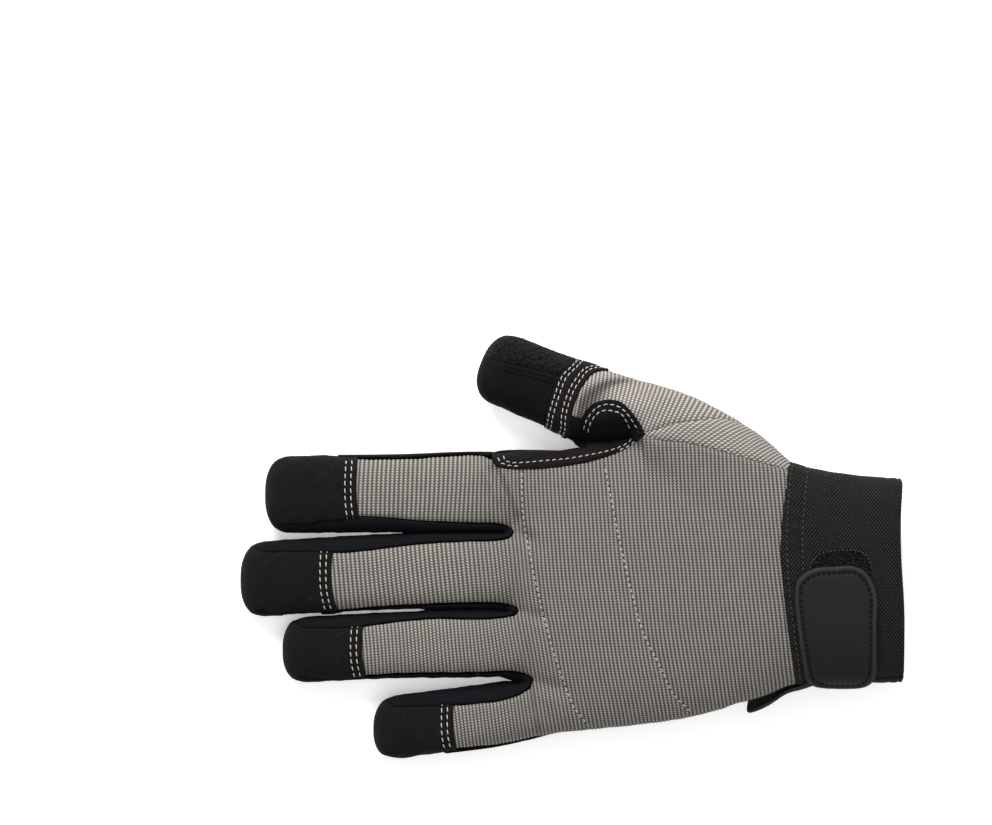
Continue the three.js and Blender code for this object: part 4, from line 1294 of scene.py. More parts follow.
def make_thumb_back(sizes):
    """The thumb's knit back, from the band over the outer side and under it, down to the cuff."""
    turns = np.radians((124, 114, 104, 90, 70, 50, 30, 10, -10, -30))
    band = np.column_stack((seam_round(BAND_HAND_SEAM, turns) - 2.0, THUMB_CHART.around(turns)))
    under = chart_line(THUMB_PALM_SEAM, under=True)
    side = side_at((120.5, 114, 107), WALL_TOP)
    cuff = chart_line(((85.5, 6), (85.5, 15), (85.5, 23)), under=True)
    gusset = chart_line(GUSSET_THUMB_SEAM[::-1])
    crotch = chart_line(((21, 46.5), (15, 50.5), (9.5, 50.5), (6, 48), (4, 45.6)))
    outline = np.vstack((band, under[1:-1], cuff, side, gusset, crotch))

    def tucked(flat):
        angle = THUMB_CHART.angle(flat[:, 1])
        behind_band = flat[:, 0] - seam_round(BAND_HAND_SEAM, angle)
        past = past_cuff_seam(*on_thumb(flat)[:, :2].T)
        under = ease(-np.sin(angle), -0.2, 0.3)
        return (1.1 * (1 - ease(behind_band, -0.9, 0.5)) + 1.3 * ease(past, -0.6, 1.0)
                + 2.4 * under * ease(past, -3.0, 1.0))

    lean = ((32, -0.2), (48, -0.15), (62, -0.03), (80, 0.0), (140, -0.02))
    piece = knitted("thumb_back", outline, THUMB_RIBS, lean, 1.2, sizes.rib_depth / MM, tucked)
    return made_up(piece, KNIT)


def make_thumb_gusset(sizes):
    """The leaf of knit between the thumb's back and the back of the hand."""
    low = side_at((107, 114, 121), WALL_TOP)
    seam = chart_line(GUSSET_THUMB_SEAM)
    back = chart_line(GUSSET_BACK_SEAM + ((84.5, 28.2),))
    outline = np.vstack((seam, low, chart_line(((85, 31.5),)), back[::-1][:-1]))

    def tucked(flat):
        return 1.3 * ease(past_cuff_seam(*on_thumb(flat)[:, :2].T), -0.6, 1.0)

    lean = ((60, 0.33), (78, 0.38), (95, 0.42), (125, 0.22), (140, 0.2))
    piece = knitted("thumb_gusset", outline, GUSSET_RIBS, lean, 1.2, sizes.rib_depth / MM, tucked)
    return made_up(piece, KNIT, (0.3, 0.6, 1))


def tip_half(name, top, bottom, lift, fuzz):
    """Half of the thumb's tip cover, from the pole of the tip to the band."""
    share = tip_rows(1.0, 0.36, 18, 40)[:, None]
    lapped = 1.5  # under the band
    reach = seam_round(BAND_TIP_SEAM, np.radians(60)) + lapped
    from_top = top(share * reach)
    from_bottom = bottom(share * reach)
    angle = from_top + (from_bottom - from_top) * bunched(70, 0.35)
    seam_s = seam_round(BAND_TIP_SEAM, angle)
    s = share * (seam_s + lapped)
    half = THUMB.read(THUMB.half, s)
    gap = np.minimum(np.abs(angle - from_top), np.abs(from_bottom - angle)) * half
    near_tip = ease(s, 0, 4)
    seam = bell(gap, 0.9)
    place = np.stack((s, angle * THUMB_RADIUS), -1)
    stand = lift * near_tip - 0.85 * seam * near_tip - 0.8 * ease(s - seam_s, -0.6, 0.4)
    stand = stand + fuzz(place) * ease(gap, 0.3, 2) * near_tip + 0.2 * uneven(place, 13.0, 1.0) * near_tip
    return add_cloth(name, THUMB.at(s, angle, stand), grid_faces(*s.shape), place)


def terry_angle(s):
    """Where the terry's seam runs over the top of the thumb."""
    place = chart_line(TERRY_SEAM[1:])
    return smooth_at(place[:, 0], THUMB_CHART.angle(place[:, 1]), s)


def make_thumb_tip():
    """The two halves of the thumb's tip: terry on the outer side and suede on the inner."""
    terry = tip_half("thumb_tip_terry", terry_angle, lambda s: -0.75 * terry_angle(s) - 0.4, 0.45,
                     lambda place: 0.16 * uneven(place, 2.1, 5.0) + 0.12 * uneven(place, 3.3, 2.0))
    leather = tip_half("thumb_tip_leather", terry_angle, lambda s: 2 * math.pi - 0.75 * terry_angle(s)
                       - 0.4, 0.3, lambda place: 0.06 * uneven(place, 4.0, 5.0))
    return made_up(terry, SUEDE, (0.4, 0.9, 0.4), 0.02), made_up(leather, SUEDE, (-0.4, -0.9, 0.4), 0.02)


def make_thumb_band():
    """The suede band round the thumb between the tip and the knit, lapped over both."""
    angles = all_round(120)
    share = np.concatenate(([0, 0.02, 0.05, 0.09], np.linspace(0.14, 0.86, 14), [0.91, 0.95, 0.98, 1.0]))
    share = share[:, None]
    start = seam_round(BAND_TIP_SEAM, angles) - 0.2
    end = seam_round(BAND_HAND_SEAM, angles) + 0.2
    s = start + (end - start) * share
    gap = np.minimum(s - start, end - s)
    place = np.stack((s, angles * THUMB_RADIUS + 0 * s), -1)
    stand = hemmed(gap, 0.75) + 0.16 * uneven(place, 11.0, 4.0)
    fold = bell(np.degrees(angles) - 128, 16)
    stand = stand + 0.5 * fold * np.sin(share * math.pi)
    for distance in (s - start, end - s - BAND_HAND_MORE):
        stand = stand - grooves(distance, BAND_INSETS, 0.22, 0.6)
    piece = add_cloth("thumb_band", THUMB.at(s, angles, stand), grid_faces(*s.shape, closed=True))
    return made_up(piece, BAND, gap=0.01)


# Crotch of the thumb

def make_crotch_patch():
    """The half moon of suede sewn into the crotch of the thumb."""
    outline = np.asarray(HALF_MOON + HALF_MOON_FOOT)
    flat, faces, gap = filled(outline, spacing=0.8, rim=(0.12, 0.3, 0.6, 1.1))
    stand = hemmed(gap, 1.0) + 0.15 * uneven(flat, 9.0, 2.0)
    for line in HALF_MOON_STITCHES:
        off, _ = beside(line, flat[:, 0], flat[:, 1])
        stand -= 0.25 * bell(off, 0.6)
    points = on_top(*flat.T) + top_facing(*flat.T) * stand[:, None]
    return made_up(add_cloth("crotch_patch", points, faces), SUEDE, (0, 0, 1))


def make_saddle_strip():
    """The rolled strip of suede from the thumb's crotch along the index finger's side."""
    inner = traced(SADDLE_INNER, 0.6)
    outer = traced(SADDLE_OUTER, 0.6)
    share = np.linspace(0, 1, len(inner))
    outer = np.stack([np.interp(share, np.linspace(0, 1, len(outer)), outer[:, i]) for i in range(2)], 1)
    across = bunched(26, 0.3)[:, None, None]
    plan = inner + (outer - inner) * across
    x, y = plan[..., 0], plan[..., 1]
    from_inner = across[..., 0] * np.linalg.norm(outer - inner, axis=1)
    from_ends = np.minimum(share, 1 - share) * lengths_along(inner)[-1]
    stand = hemmed(np.minimum(from_inner, from_ends + 0.05), 0.95, 0.9)
    stand = stand + 0.35 * np.sin(across[..., 0] * math.pi)
    stand = stand + 0.12 * uneven(plan, 8.0, 6.0)
    for line in SADDLE_STITCHES:
        off, _ = beside(traced(line, 1.0), x, y)
        stand = stand - 0.28 * bell(off, 0.6)
    upright = 1 - 0.75 * ease(across, 0.3, 1) * (1, 1, 0)
    top = on_top(x, y) + top_facing(x, y) * upright * stand[..., None]
    edge = top[-1]
    wall = []
    for step in np.linspace(0.12, 1, 9):
        level = edge[:, 2] + (np.minimum(WALL_TOP, edge[:, 2] - 0.3) - edge[:, 2]) * step
        out = 0.5 * np.sin(step * math.pi * 0.9) ** 0.7
        wall.append(np.column_stack((edge[:, 0], edge[:, 1] + out, level)))
    net = np.concatenate((top, np.stack(wall)))
    return made_up(add_cloth("saddle_strip", net, grid_faces(*net.shape[:2])), SUEDE, (0, 0.3, 1), 0.01)


# Cuff and closure

CUFF_MIDDLE, CUFF_HALF = -12, 39  # across the hand
CUFF_MOUTH = ((-50.5, 124.4), (-44, 125.2), (-33, 124.9), (-19, 124.2), (-3, 123.3), (10, 123.4), (25, 124.1))
LOOP_PATCH = ((86, -38), (85.2, -24), (86.6, -12), (89.1, -7.4), (90.2, -4.5), (92.2, -2.4), (96, -1.1),
              (101.3, -0.7), (106.6, -0.9), (109.5, -2.1), (111.1, -4.7), (111.8, -7.9), (112.3, -12),
              (112.3, -38))
TAB = ((83.2, -18.5), (83.7, -13.6), (86.3, -10.2), (91.8, -7.6), (98.5, -7.2), (104.9, -6.9),
       (108.8, -8.4), (111.3, -11), (113.7, -16.5), (114.1, -30), (114.2, -42), (114.1, -47.5),
       (113.3, -50.6), (111.6, -52.6))
TAB_LEFT = ((90.3, -52.9), (88, -51), (87, -47.8), (86, -42.4), (84.1, -29.1))


def on_cuff(x, y, stand, under=False):
    """Place on the cuff's chart of a point of the plan that stands off the cuff."""
    x, y = np.asarray(x, float), np.asarray(y, float)
    half = HAND.section(x)[0] + stand
    t = np.clip((y - HAND.read(HAND.y, x)) / half, -1, 1)
    angle = np.arccos(powered(t, HAND.fullness / 2))
    if under:
        angle = 2 * math.pi - angle
    return np.column_stack((x, CUFF_CHART.around(angle)))


def across_cuff(angle):
    """Place across the hand of an angle of the cuff's section."""
    return CUFF_MIDDLE + CUFF_HALF * powered(np.cos(angle), 2 / HAND.fullness)


def cuff_start(angle):
    """Where the cuff's seam with the hand runs at an angle of the section."""
    return x_on(CUFF_SEAM, across_cuff(angle))


def make_cuff_band():
    """The woven elastic cuff: gathered at its seam, turned in at its open mouth."""
    angles = all_round(240)
    near_seam, near_mouth = (0, 0.008, 0.02, 0.035), (0.95, 0.965, 0.98, 0.99, 1.0)
    share = np.concatenate((near_seam, np.linspace(0.055, 0.93, 44), near_mouth))
    start = cuff_start(angles) - 0.1
    mouth = read_off(CUFF_MOUTH, across_cuff(angles)) + 0.15 * np.sin(5 * angles)
    s = start + (mouth - start) * share[:, None]
    gap = np.minimum(s - start, mouth - s)
    around = CUFF_CHART.around(angles)
    place = np.stack((s, around + 0 * s), -1)
    stand = 0.35 * ease(s - start, 0, 1.2) - 0.35 + 0.9 * rounded(gap, 1.2)
    gathers = bell(s - start - 3, 5)
    stand = stand + 0.22 * gathers * np.sin(around * 1.1 + 0.4 * np.sin(around * 0.31))
    stand = stand + 0.25 * uneven(place, 26.0, 1.5)
    stand = stand - grooves(s - start, CUFF_INSETS, 0.28, 0.7)
    stand = stand - 0.25 * bell(mouth - s - 5.2, 0.8) - 0.5 * bell(mouth - s - 1.7, 0.4)
    stand = stand - 0.8 * bell(around - 5.6, 0.6) * ease(s, 106, 112)
    piece = add_cloth("cuff_band", HAND.at(s, angles, stand), grid_faces(*s.shape, closed=True), place)
    return made_up(piece, ELASTIC, gap=0.01)


def make_loop_patch():
    """The fuzzy loop half of the closure, sewn to the cuff under the tab."""
    flat, faces, gap = filled(on_cuff(*zip(*LOOP_PATCH), 1.0), spacing=0.8, rim=(0.15, 0.4, 0.8, 1.4))
    loops = 0.22 * uneven(flat, 1.7, 1.0) + 0.2 * uneven(flat, 2.9, 4.0)
    stand = 0.95 + hemmed(gap, 0.9) + loops * ease(gap, 0, 0.6)
    return made_up(add_cloth("loop_patch", CUFF_CHART.place(flat, stand), faces), PILE, (0, 0, 1))


def tab_outline(stand):
    """The tab's outline on the cuff's chart. Its lower end wraps round the little finger's side."""
    end = ((108.5, 2.6), (104, 1.8), (98, 1.8), (93.5, 2.6))
    return np.vstack((on_cuff(*zip(*TAB), stand), end, on_cuff(*zip(*TAB_LEFT), stand)))


def make_closure_tab():
    """The moulded rubber end of the strap: a raised lip round a level field."""
    rim = (0.12, 0.3, 0.5, 0.72, 0.95, 1.2, 1.45, 1.75, 2.1, 2.5, 2.9, 3.4)
    flat, faces, gap = filled(tab_outline(TAB_STAND), spacing=1.1, rim=rim)
    lip = 0.3 * (1 - ease(gap, 1.3, 2.1))
    channel = 0.3 * bell(gap - TAB_INSET, 0.5)
    stand = 3.45 + lip - channel - 1.5 * (1 - rounded(gap, 0.7))
    # the cloth map holds the distance from the edge, which the rubber's painted highlight on the rim reads
    piece = add_cloth("closure_tab", CUFF_CHART.place(flat, stand), faces, np.column_stack((gap, gap)))
    return made_up(piece, RUBBER, (0, -0.3, 1))


def make_closure_strap():
    """The suede strap from the palm side round the little finger's edge, to where the tab is sewn on it."""
    over = on_cuff((90.5, 100, 111.5), np.full(3, -38.6), 2.0)
    side_right = ((112.6, 4.0), (112.8, 0.0), (112.8, -6.0))
    below = on_cuff((113, 100, 88), np.full(3, -28.5), 1.5, under=True)
    heel = ((78, -22.0), (70.5, -12), (66.3, -5.0), (65.9, -1.8), (69.5, 0.1), (73.3, 0.4), (79.1, 0.6),
            (85.5, 1.6), (89.5, 3.5))
    outline = np.vstack((over, side_right, below, heel))
    flat, faces, gap = filled(outline, spacing=1.1, rim=(0.15, 0.4, 0.8, 1.4))
    bulge = np.interp(flat[:, 0], (64, 72, 84, 92), (4.2, 4.4, 2.6, 0.5))
    stand = 0.45 + hemmed(gap, 0.9) + bulge * bell(flat[:, 1], np.where(flat[:, 1] > 0, 4, 7))
    stand += 0.15 * uneven(flat, 10.0, 7.0)
    for x, around, rise in ((86.3, -10, 1.6), (80, -17, 1.9)):
        stand += rise * bell(flat[:, 0] - x, 4) * bell(flat[:, 1] - around, 6)
    return made_up(add_cloth("closure_strap", CUFF_CHART.place(flat, stand), faces), SUEDE, (0, -1, 0.1))


def make_pull_tab():
    """The suede pull tab, folded back under the cuff."""
    radius, middle, bend = 0.82, 1.54, 122.08
    path = [(x, middle + radius) for x in np.linspace(84, bend, 40)]
    for turn in np.linspace(0, math.pi, 13):
        path.append((bend + radius * math.sin(turn), middle + radius * math.cos(turn)))
    path += [(x, middle - radius) for x in np.linspace(bend, 106, 22)]
    path = np.asarray(path)
    y = np.concatenate(([-24.6, -24.5, -24.2], np.linspace(-23.6, -3.2, 22), [-2.6, -2.3, -2.2]))
    outward = to_the_left(unit(np.gradient(path, axis=0)))
    lift = -0.3 * (1 - rounded(np.minimum(y - y[0], y[-1] - y), 0.6))
    x = path[:, :1] + outward[:, :1] * lift
    z = path[:, 1:] + outward[:, 1:] * lift
    net = np.stack((x, np.broadcast_to(y, x.shape), z), -1)
    piece = add_cloth("pull_tab", net, grid_faces(*net.shape[:2]))
    thicken(piece, FOLDED_SUEDE, offset=0)
    weld(piece, 0.01)
    return piece


# Palm

PALM_STARTS = {"index": -88.5, "middle": -97.5, "ring": -86.5, "little": -52.5}
CUFF_TUCK = 86.0


def web_foot(name, first, second):
    """Where a strip between fingers is sewn to the palm, from the second finger round to the first."""
    upper, edge = web_lines(name)
    low = (edge + WEB_UNDER * (upper - edge))[::-1]
    turn = int(np.argmax(low[:, 0]))
    kept = np.concatenate((low[:turn, 0] > PALM_STARTS[second], low[turn:, 0] > PALM_STARTS[first]))
    return low[kept]


def wall_foot(tube, x, sign):
    """Where the palm turns up into its side wall: the height, and the place across the hand."""
    _, rise, middle, _ = tube.section(np.maximum(x, tube.s[0] + 3))
    _, hand_rise, hand_middle, _ = HAND.section(np.maximum(x, -12))
    behind = ease(x, -34, -10)
    level = (middle - 0.6 * rise) * (1 - behind) + (hand_middle - 0.6 * hand_rise) * behind
    return side_of((tube, HAND), x, level, sign), level


def under_band(angles, back):
    """The hand side seam of the thumb's band on the underside, in the plan."""
    return THUMB.at(seam_round(BAND_HAND_SEAM, angles) - back, angles)[:, :2]


def palm_outline():
    """The palm's outline in the plan, from the cuff along the little finger's side and round the fingers."""
    x = np.arange(CUFF_TUCK, PALM_STARTS["little"], -1.2)
    little_side = np.column_stack((x, wall_foot(FINGER_TUBES["little"], x, -1)[0]))
    x = np.arange(PALM_STARTS["index"], 4.6, 1.2)
    index_side = np.column_stack((x, wall_foot(FINGER_TUBES["index"], x, 1)[0]))
    notch = np.vstack((((5.2, 33.5), (5.8, 37)), THUMB.at(np.linspace(48, 42, 4), math.radians(208))[:, :2]))
    thumb = under_band(np.radians(np.arange(208, 308, 12)), 2.2)
    seam = traced(THUMB_PALM_SEAM[1:-1] + ((82, 6.5), (86, 5.5)), 2.5)
    cuff = np.array(((86.2, -8), (86.3, -22), (86.2, -36)))
    return np.vstack((little_side, web_foot("ring_little", "ring", "little"),
                      web_foot("middle_ring", "middle", "ring"), web_foot("index_middle", "index", "middle"),
                      index_side, notch, thumb, seam, cuff))


def palm_creases(flat):
    """The slight unevenness of the palm's suede."""
    return np.maximum(0.22 * uneven(flat, 24.0, 2.0) + 0.1 * uneven(flat, 8.0, 5.0), -0.05)


def palm_tuck(x, y):
    """How far the palm lies inside under the caps, the thumb's band and the cuff."""
    tuck = np.zeros(len(x))
    for name, tube in FINGER_TUBES.items():
        behind_cap = x - CAP_EDGES[name][1][0] + CAP_PALM_SHORTER
        mine = np.abs(y - tube.read(tube.y, x)) < tube.read(tube.half, x) + 0.6
        tuck = np.maximum(tuck, np.where(mine, 1.2 * (1 - ease(behind_cap, -1.0, 0.4)), 0))
    place = THUMB_CHART.of_plan(x, y, under=True)
    seam = seam_round(BAND_HAND_SEAM, THUMB_CHART.angle(place[:, 1]))
    near = (y > 36) & (x < 30)
    tuck = np.where(near, 1.1 * (1 - ease(place[:, 0] - seam, -0.8, 0.4)), tuck)
    return tuck + 1.5 * ease(past_cuff_seam(x, y), -0.6, 1.2)


def make_palm_panel():
    """The suede palm with the fronts of the fingers and of the thumb, and its side walls."""
    flat, faces, gap = filled(palm_outline(), spacing=1.9, rim=(0.6,), edge=1.1)
    level = np.clip(glove_bottom(*flat.T), LOWEST, HIGHEST)
    points = np.column_stack((flat, level + palm_creases(flat) * ease(gap, 0.5, 4) + palm_tuck(*flat.T)))
    faces = faces.tolist()
    for net in (index_wall(), little_wall(), crotch_wall()):
        faces += grid_faces(*net.shape[:2], len(points)).tolist()
        points = np.vstack((points, net.reshape(-1, 3)))
    return made_up(add_cloth("palm_panel", points, faces), PALM, (0, 0, -1), 0.02)


def index_wall():
    """The palm's wall on the index finger's thumb side: up to the knit, and under the saddle strip."""
    tube = FINGER_TUBES["index"]
    x = np.arange(PALM_STARTS["index"], 7.5, 1.0)
    foot, low = wall_foot(tube, x, 1)
    seam = border("index_high", x)
    seam_z = glove_top(x, seam) - 0.5
    top = seam_z + (9.6 - seam_z) * ease(x, -33, -29)
    rows = []
    lapped = 1 - ease(x, -18, -12)
    for share in np.linspace(-0.06, 1, 18):
        level = low + (top - low) * np.where(share < 0, share * lapped, share)
        y = side_of((tube, HAND), x, level, 1)
        y = np.where(share < 0.02, foot - 0.25 * lapped, y)
        behind_strip = np.interp(x, *zip(*SADDLE_OUTER)) - 0.2
        y = np.where(x > -30, np.minimum(y, np.maximum(behind_strip, y - 2 * share)), y)
        over = ease(share, 0.72, 1) * (1 - ease(x, -33, -29))
        level = level + 0.8 * ease(x, 3.5, 6)
        rows.append(np.column_stack((x, y * (1 - over) + np.maximum(seam, y - 99 * over) * over, level)))
    return np.stack(rows)


def little_wall():
    """The palm's wall on the little finger's outer side, up to the knit."""
    tube = FINGER_TUBES["little"]
    x = np.arange(PALM_STARTS["little"], CUFF_TUCK + 0.5, 1.0)
    foot, low = wall_foot(tube, x, -1)
    seam_z = glove_top(x, border("little_low", x)) - 0.6
    top = seam_z + (np.minimum(WALL_TOP + 0.3, seam_z) - seam_z) * ease(x, -36, -16)
    tuck = 1.5 * ease(past_cuff_seam(x, foot), -0.6, 1.2) + 1.1 * (1 - ease(x, -49.1, -47.7))
    rows = []
    for share in np.linspace(-0.06, 1, 14):
        level = low + (top - low) * share
        y = side_of((tube, HAND), x, level, -1)
        y = np.where(share < 0.02, foot + 0.25, y)
        rows.append(np.column_stack((x, y + tuck, level)))
    return np.stack(rows)


def crotch_wall():
    """The palm's suede where it comes up inside the thumb's crotch, between the band and the half moon."""
    count = 30
    turns = np.radians(np.linspace(212, 112, count))
    start = seam_round(BAND_HAND_SEAM, turns) - 2.2
    s = start + (56 - start) * np.linspace(0, 1, count)[:, None]
    chart = np.stack((s, np.broadcast_to(THUMB_CHART.around(turns), s.shape)), -1).reshape(-1, 2)
    sunk = 0.3 + 0.5 * ease(np.tile(turns, count), math.radians(194), math.radians(210))
    sunk = sunk + 0.9 * (1 - ease((s - start).ravel(), 1.4, 2.6))
    return off_thumb(chart, -sunk).reshape(count, count, 3)


def make_palm_patch(name, outline):
    """A reinforcement sewn to the outside of the palm."""
    flat, faces, gap = filled(outline, spacing=1.5, rim=(0.12, 0.35, 0.7, 1.1, 2.6, 3.2), edge=1.0)
    level = np.clip(glove_bottom(*flat.T), LOWEST, HIGHEST) + palm_creases(flat) + PALM_LIFT
    stand = hemmed(gap, 0.9) - grooves(gap, PATCH_INSETS, 0.3, 0.6)
    points = np.column_stack((flat, np.maximum(level - stand, 0.02)))
    return made_up(add_cloth(name, points, faces), PATCH, (0, 0, -1))


# Stitching

DOWN = (0.0, 0.0, -1.0)
UP = (0.0, 0.0, 1.0)
SIDES, RINGS = 6, 7  # of each stitch
ROW_END = 1.9  # length at a row's end that has no room for the start of a stitch
OVERSTRETCHED = 2.6  # times its own length, at which a stitch has missed the cloth and is left out
FROM_FAR, FROM_NEAR = 60.0, 8.0  # how far off a row looks for the cloth


def surface_tree(*nodes):
    """Finished pieces as one surface for rays, in the plan's millimetres."""
    points, faces, start = [], [], 0
    for node in nodes:
        own, own_faces = points_of(bpy.data.objects[node])
        points.append(own)
        faces += [tuple(corner + start for corner in face) for face in own_faces]
        start += len(own)
    return BVHTree.FromPolygons(np.vstack(points).tolist(), faces)


def cloth_tree(*nodes):
    """The sheets that stand for CAD nodes as one surface for rays."""
    return surface_tree(*(f"{node}_cloth" for node in nodes))


def seen_rows(tree, lines, way):
    """Rows on lines of the plan, put on the cloth as they are seen along one direction."""
    rows = []
    for line in lines:
        line = traced(line, 0.4)
        level = np.zeros(len(line))
        rows.append((tree, np.column_stack((line, level)), np.tile(way, (len(line), 1)), FROM_FAR))
    return rows


def round_tube(tree, tube, s, angles):
    """A row round a tube, put on the cloth as it is seen towards the tube's axis.

    A row is the cloth to put it on, its places, the way to the cloth at each of them, and how far to look.
    """
    place = tube.at(s, angles)
    return tree, place, unit(place - tube.at(s, angles, 10.0)), FROM_NEAR


def over_cuff(tree, line):
    """A row on a line of the cuff's chart, put on the cloth as it is seen towards the hand's axis."""
    return round_tube(tree, HAND, line[:, 0], CUFF_CHART.angle(line[:, 1]))


def seat(tree, place, way, reach):
    """Where a ray meets the cloth, and the way the cloth faces there."""
    way = Vector(way)
    found, normal, _, _ = tree.ray_cast(Vector(place) - way * reach, way)
    if found is None:
        return None
    if normal.dot(way) > 0:
        normal.negate()
    return np.array(found), np.array(normal)


def stitch_points(first, second, width, height, sink):
    """One stitch as a low round arch of thread between two points of the cloth, each with its facing."""
    (start, start_up), (end, end_up) = first, second
    up = unit(start_up + end_up)
    along = end - start
    side = np.cross(up, unit(along - up * (along @ up)))
    rows = []
    for t in np.linspace(0, 1, RINGS):
        lift = height * math.sin(math.pi * t) ** 0.6 - sink
        middle = start + (end - start) * t + up * lift
        body = width / 2 * (0.55 + 0.45 * math.sin(math.pi * t) ** 0.5)
        for turn in all_round(SIDES):
            rows.append(middle + side * body * math.cos(turn) + up * 0.8 * body * math.sin(turn))
    return rows


def add_stitches(name, rows, pitch, length, width, height=0.3, sink=0.12, material="white_thread",
                 slant=0.1, fewer=0):
    """Rows of stitches as one piece, each a short arch of thread.

    slant is how far each end lies off its row, and fewer leaves that many out, which puts the rest between
    those of a full row.
    """
    points, faces = [], []
    rim = np.arange(SIDES)
    for tree, place, way, reach in rows:
        along = lengths_along(place)
        count = int((along[-1] - ROW_END) / pitch) + 1 - fewer
        beside_row = unit(np.cross(way, np.gradient(place, axis=0)))
        offset = (along[-1] - (count - 1) * pitch - length) / 2
        ends = offset + np.arange(count)[:, None] * pitch + np.array((0, length))
        for pair in ends:
            seats = []
            for at, off in zip(pair, (slant, -slant)):
                here, facing_in = ([np.interp(at, along, values[:, axis]) for axis in range(3)]
                                   for values in (place + beside_row * off, way))
                seats.append(seat(tree, here, facing_in, reach))
            if None in seats or np.linalg.norm(seats[0][0] - seats[1][0]) > OVERSTRETCHED * length:
                continue
            start = len(points)
            points += stitch_points(*seats, width, height, sink)
            for ring in range(RINGS - 1):
                here = start + ring * SIDES + rim
                after = start + ring * SIDES + (rim + 1) % SIDES
                faces += np.stack((here, after, after + SIDES, here + SIDES), 1).tolist()
            faces.append((start + rim[::-1]).tolist())
            faces.append((start + (RINGS - 1) * SIDES + rim).tolist())
    piece = add_cloth(name, points, faces, None, 0.02)
    weld(piece, 0.0)
    dress(piece, finish_of(material), [])


def shifted(line, amount):
    """A line moved sideways, to its left for a positive amount."""
    line = traced(line, 0.8)
    return line + to_the_left(unit(np.gradient(line, axis=0))) * amount


def set_in(outline, inset):
    """A closed outline moved inwards, as an open line whose ends meet."""
    loop = traced(outline, 0.8, closed=True)
    moved = loop + inward_from(loop) * inset
    gap, _ = beside(closed_line(loop), moved[:, 0], moved[:, 1])
    return closed_line(moved[(gap > 0.93 * inset) & inside(loop, moved)])


def cap_rows():
    """The two stitched rows of each fingertip cap, over its back and under its palm side."""
    rows = []
    for name, tube in FINGER_TUBES.items():
        tree = cloth_tree(f"fingertip_cap_{name}")
        for first, last in ((25, 155), (205, 335)):
            angles = np.radians(np.arange(first, last + 1, 2.0))
            for inset in CAP_INSETS:
                rows.append(round_tube(tree, tube, cap_ends(name, angles) - inset, angles))
    return rows


def band_rows():
    """Two stitched rows along each edge of the thumb's band, all round it."""
    tree = cloth_tree("thumb_band")
    angles = np.radians(np.arange(-96, 264, 2.0))
    places = [seam_round(BAND_TIP_SEAM, angles) + inset for inset in BAND_INSETS]
    places += [seam_round(BAND_HAND_SEAM, angles) - inset - BAND_HAND_MORE for inset in BAND_INSETS]
    return [round_tube(tree, THUMB, s, angles) for s in places]


def palm_rows():
    """The double rows of the palm's two reinforcements, and the rows that quilt its padding."""
    rows = []
    for node, outline in PALM_PATCHES.items():
        rows += seen_rows(cloth_tree(node), [set_in(outline, inset) for inset in PATCH_INSETS], UP)
    lines = (PALM_ARCH, PALM_HOOK, shifted(PALM_HOOK, -1.8))
    return rows + seen_rows(cloth_tree("palm_panel", *PALM_PATCHES), lines, UP)


def make_stitching(sizes):
    """White decorative stitches and black plain ones."""
    long, wide = sizes.stitch_length / MM, sizes.stitch_width / MM
    add_stitches("cap_stitches", cap_rows(), 2.75, long, wide)
    rows = seen_rows(cloth_tree("crotch_patch"), HALF_MOON_STITCHES, DOWN)
    add_stitches("crotch_stitches", rows, 2.5, 0.9 * long, 0.9 * wide)
    rows = seen_rows(cloth_tree("saddle_strip"), SADDLE_STITCHES, DOWN)
    add_stitches("saddle_stitches", rows, 2.5, 0.85 * long, 0.9 * wide)
    add_stitches("band_stitches", band_rows(), 2.4, 0.9 * long, 0.9 * wide)
    add_stitches("palm_stitches", palm_rows(), 2.9, long, wide)
    rows = seen_rows(cloth_tree("back_panel"), QUILT_LINES, DOWN)
    add_stitches("quilt_stitches", rows, 2.3, 0.8 * long, 1.3 * wide, 0.1, 0.1, "quilt_thread")
    # painted shade: short black arches of thread stand for the shade in the quilting's needle holes
    add_stitches("quilt_holes", rows, 2.3, 0.45, 1.3 * wide, 0.16, 0.0, "black_thread", 0.0, 1)
    make_plain_stitches(wide)


def make_plain_stitches(wide):
    """The black rows of the closure, the cuff, the terry's seam and the pull tab."""
    rows = [over_cuff(surface_tree("closure_tab_rubber"), set_in(tab_outline(TAB_STAND), TAB_INSET))]
    add_stitches("tab_stitches", rows, 1.95, 1.2, 1.7 * wide, 0.3, 0.1, "black_thread")
    cuff = cloth_tree("cuff_band")
    angles = np.radians(np.arange(-88, 268, 1.5))
    rows = [round_tube(cuff, HAND, cuff_start(angles) + inset, angles) for inset in CUFF_INSETS]
    add_stitches("cuff_stitches", rows, 2.2, 1.1, 1.1 * wide, 0.35, 0.1, "cuff_thread")
    rim = traced(on_cuff(*zip(*LOOP_PATCH[2:-2]), 1.0), 0.5)
    rows = [over_cuff(cloth_tree("loop_patch"), rim - (0, 0.8))]
    add_stitches("loop_patch_stitches", rows, 1.5, 0.9, wide, 0.45, 0.1, "cuff_thread")
    lines = [shifted(TERRY_SEAM[1:], -inset) for inset in TERRY_INSETS]
    rows = seen_rows(cloth_tree("thumb_tip_leather"), lines, DOWN)
    add_stitches("terry_seam_stitches", rows, 1.5, 1.0, 1.7 * wide, 0.45, 0.1, "black_thread", 0.3)
    box = ((108.5, -5), (121, -5), (121, -21.8), (108.5, -21.8), (108.5, -5))
    lines = [*zip(box[:-1], box[1:]), (box[0], box[2]), (box[1], box[3])]
    rows = seen_rows(cloth_tree("pull_tab"), lines, UP)
    add_stitches("pull_tab_stitches", rows, 2.6, 1.8, wide, 0.25, 0.12, "black_thread")


# What a user can change

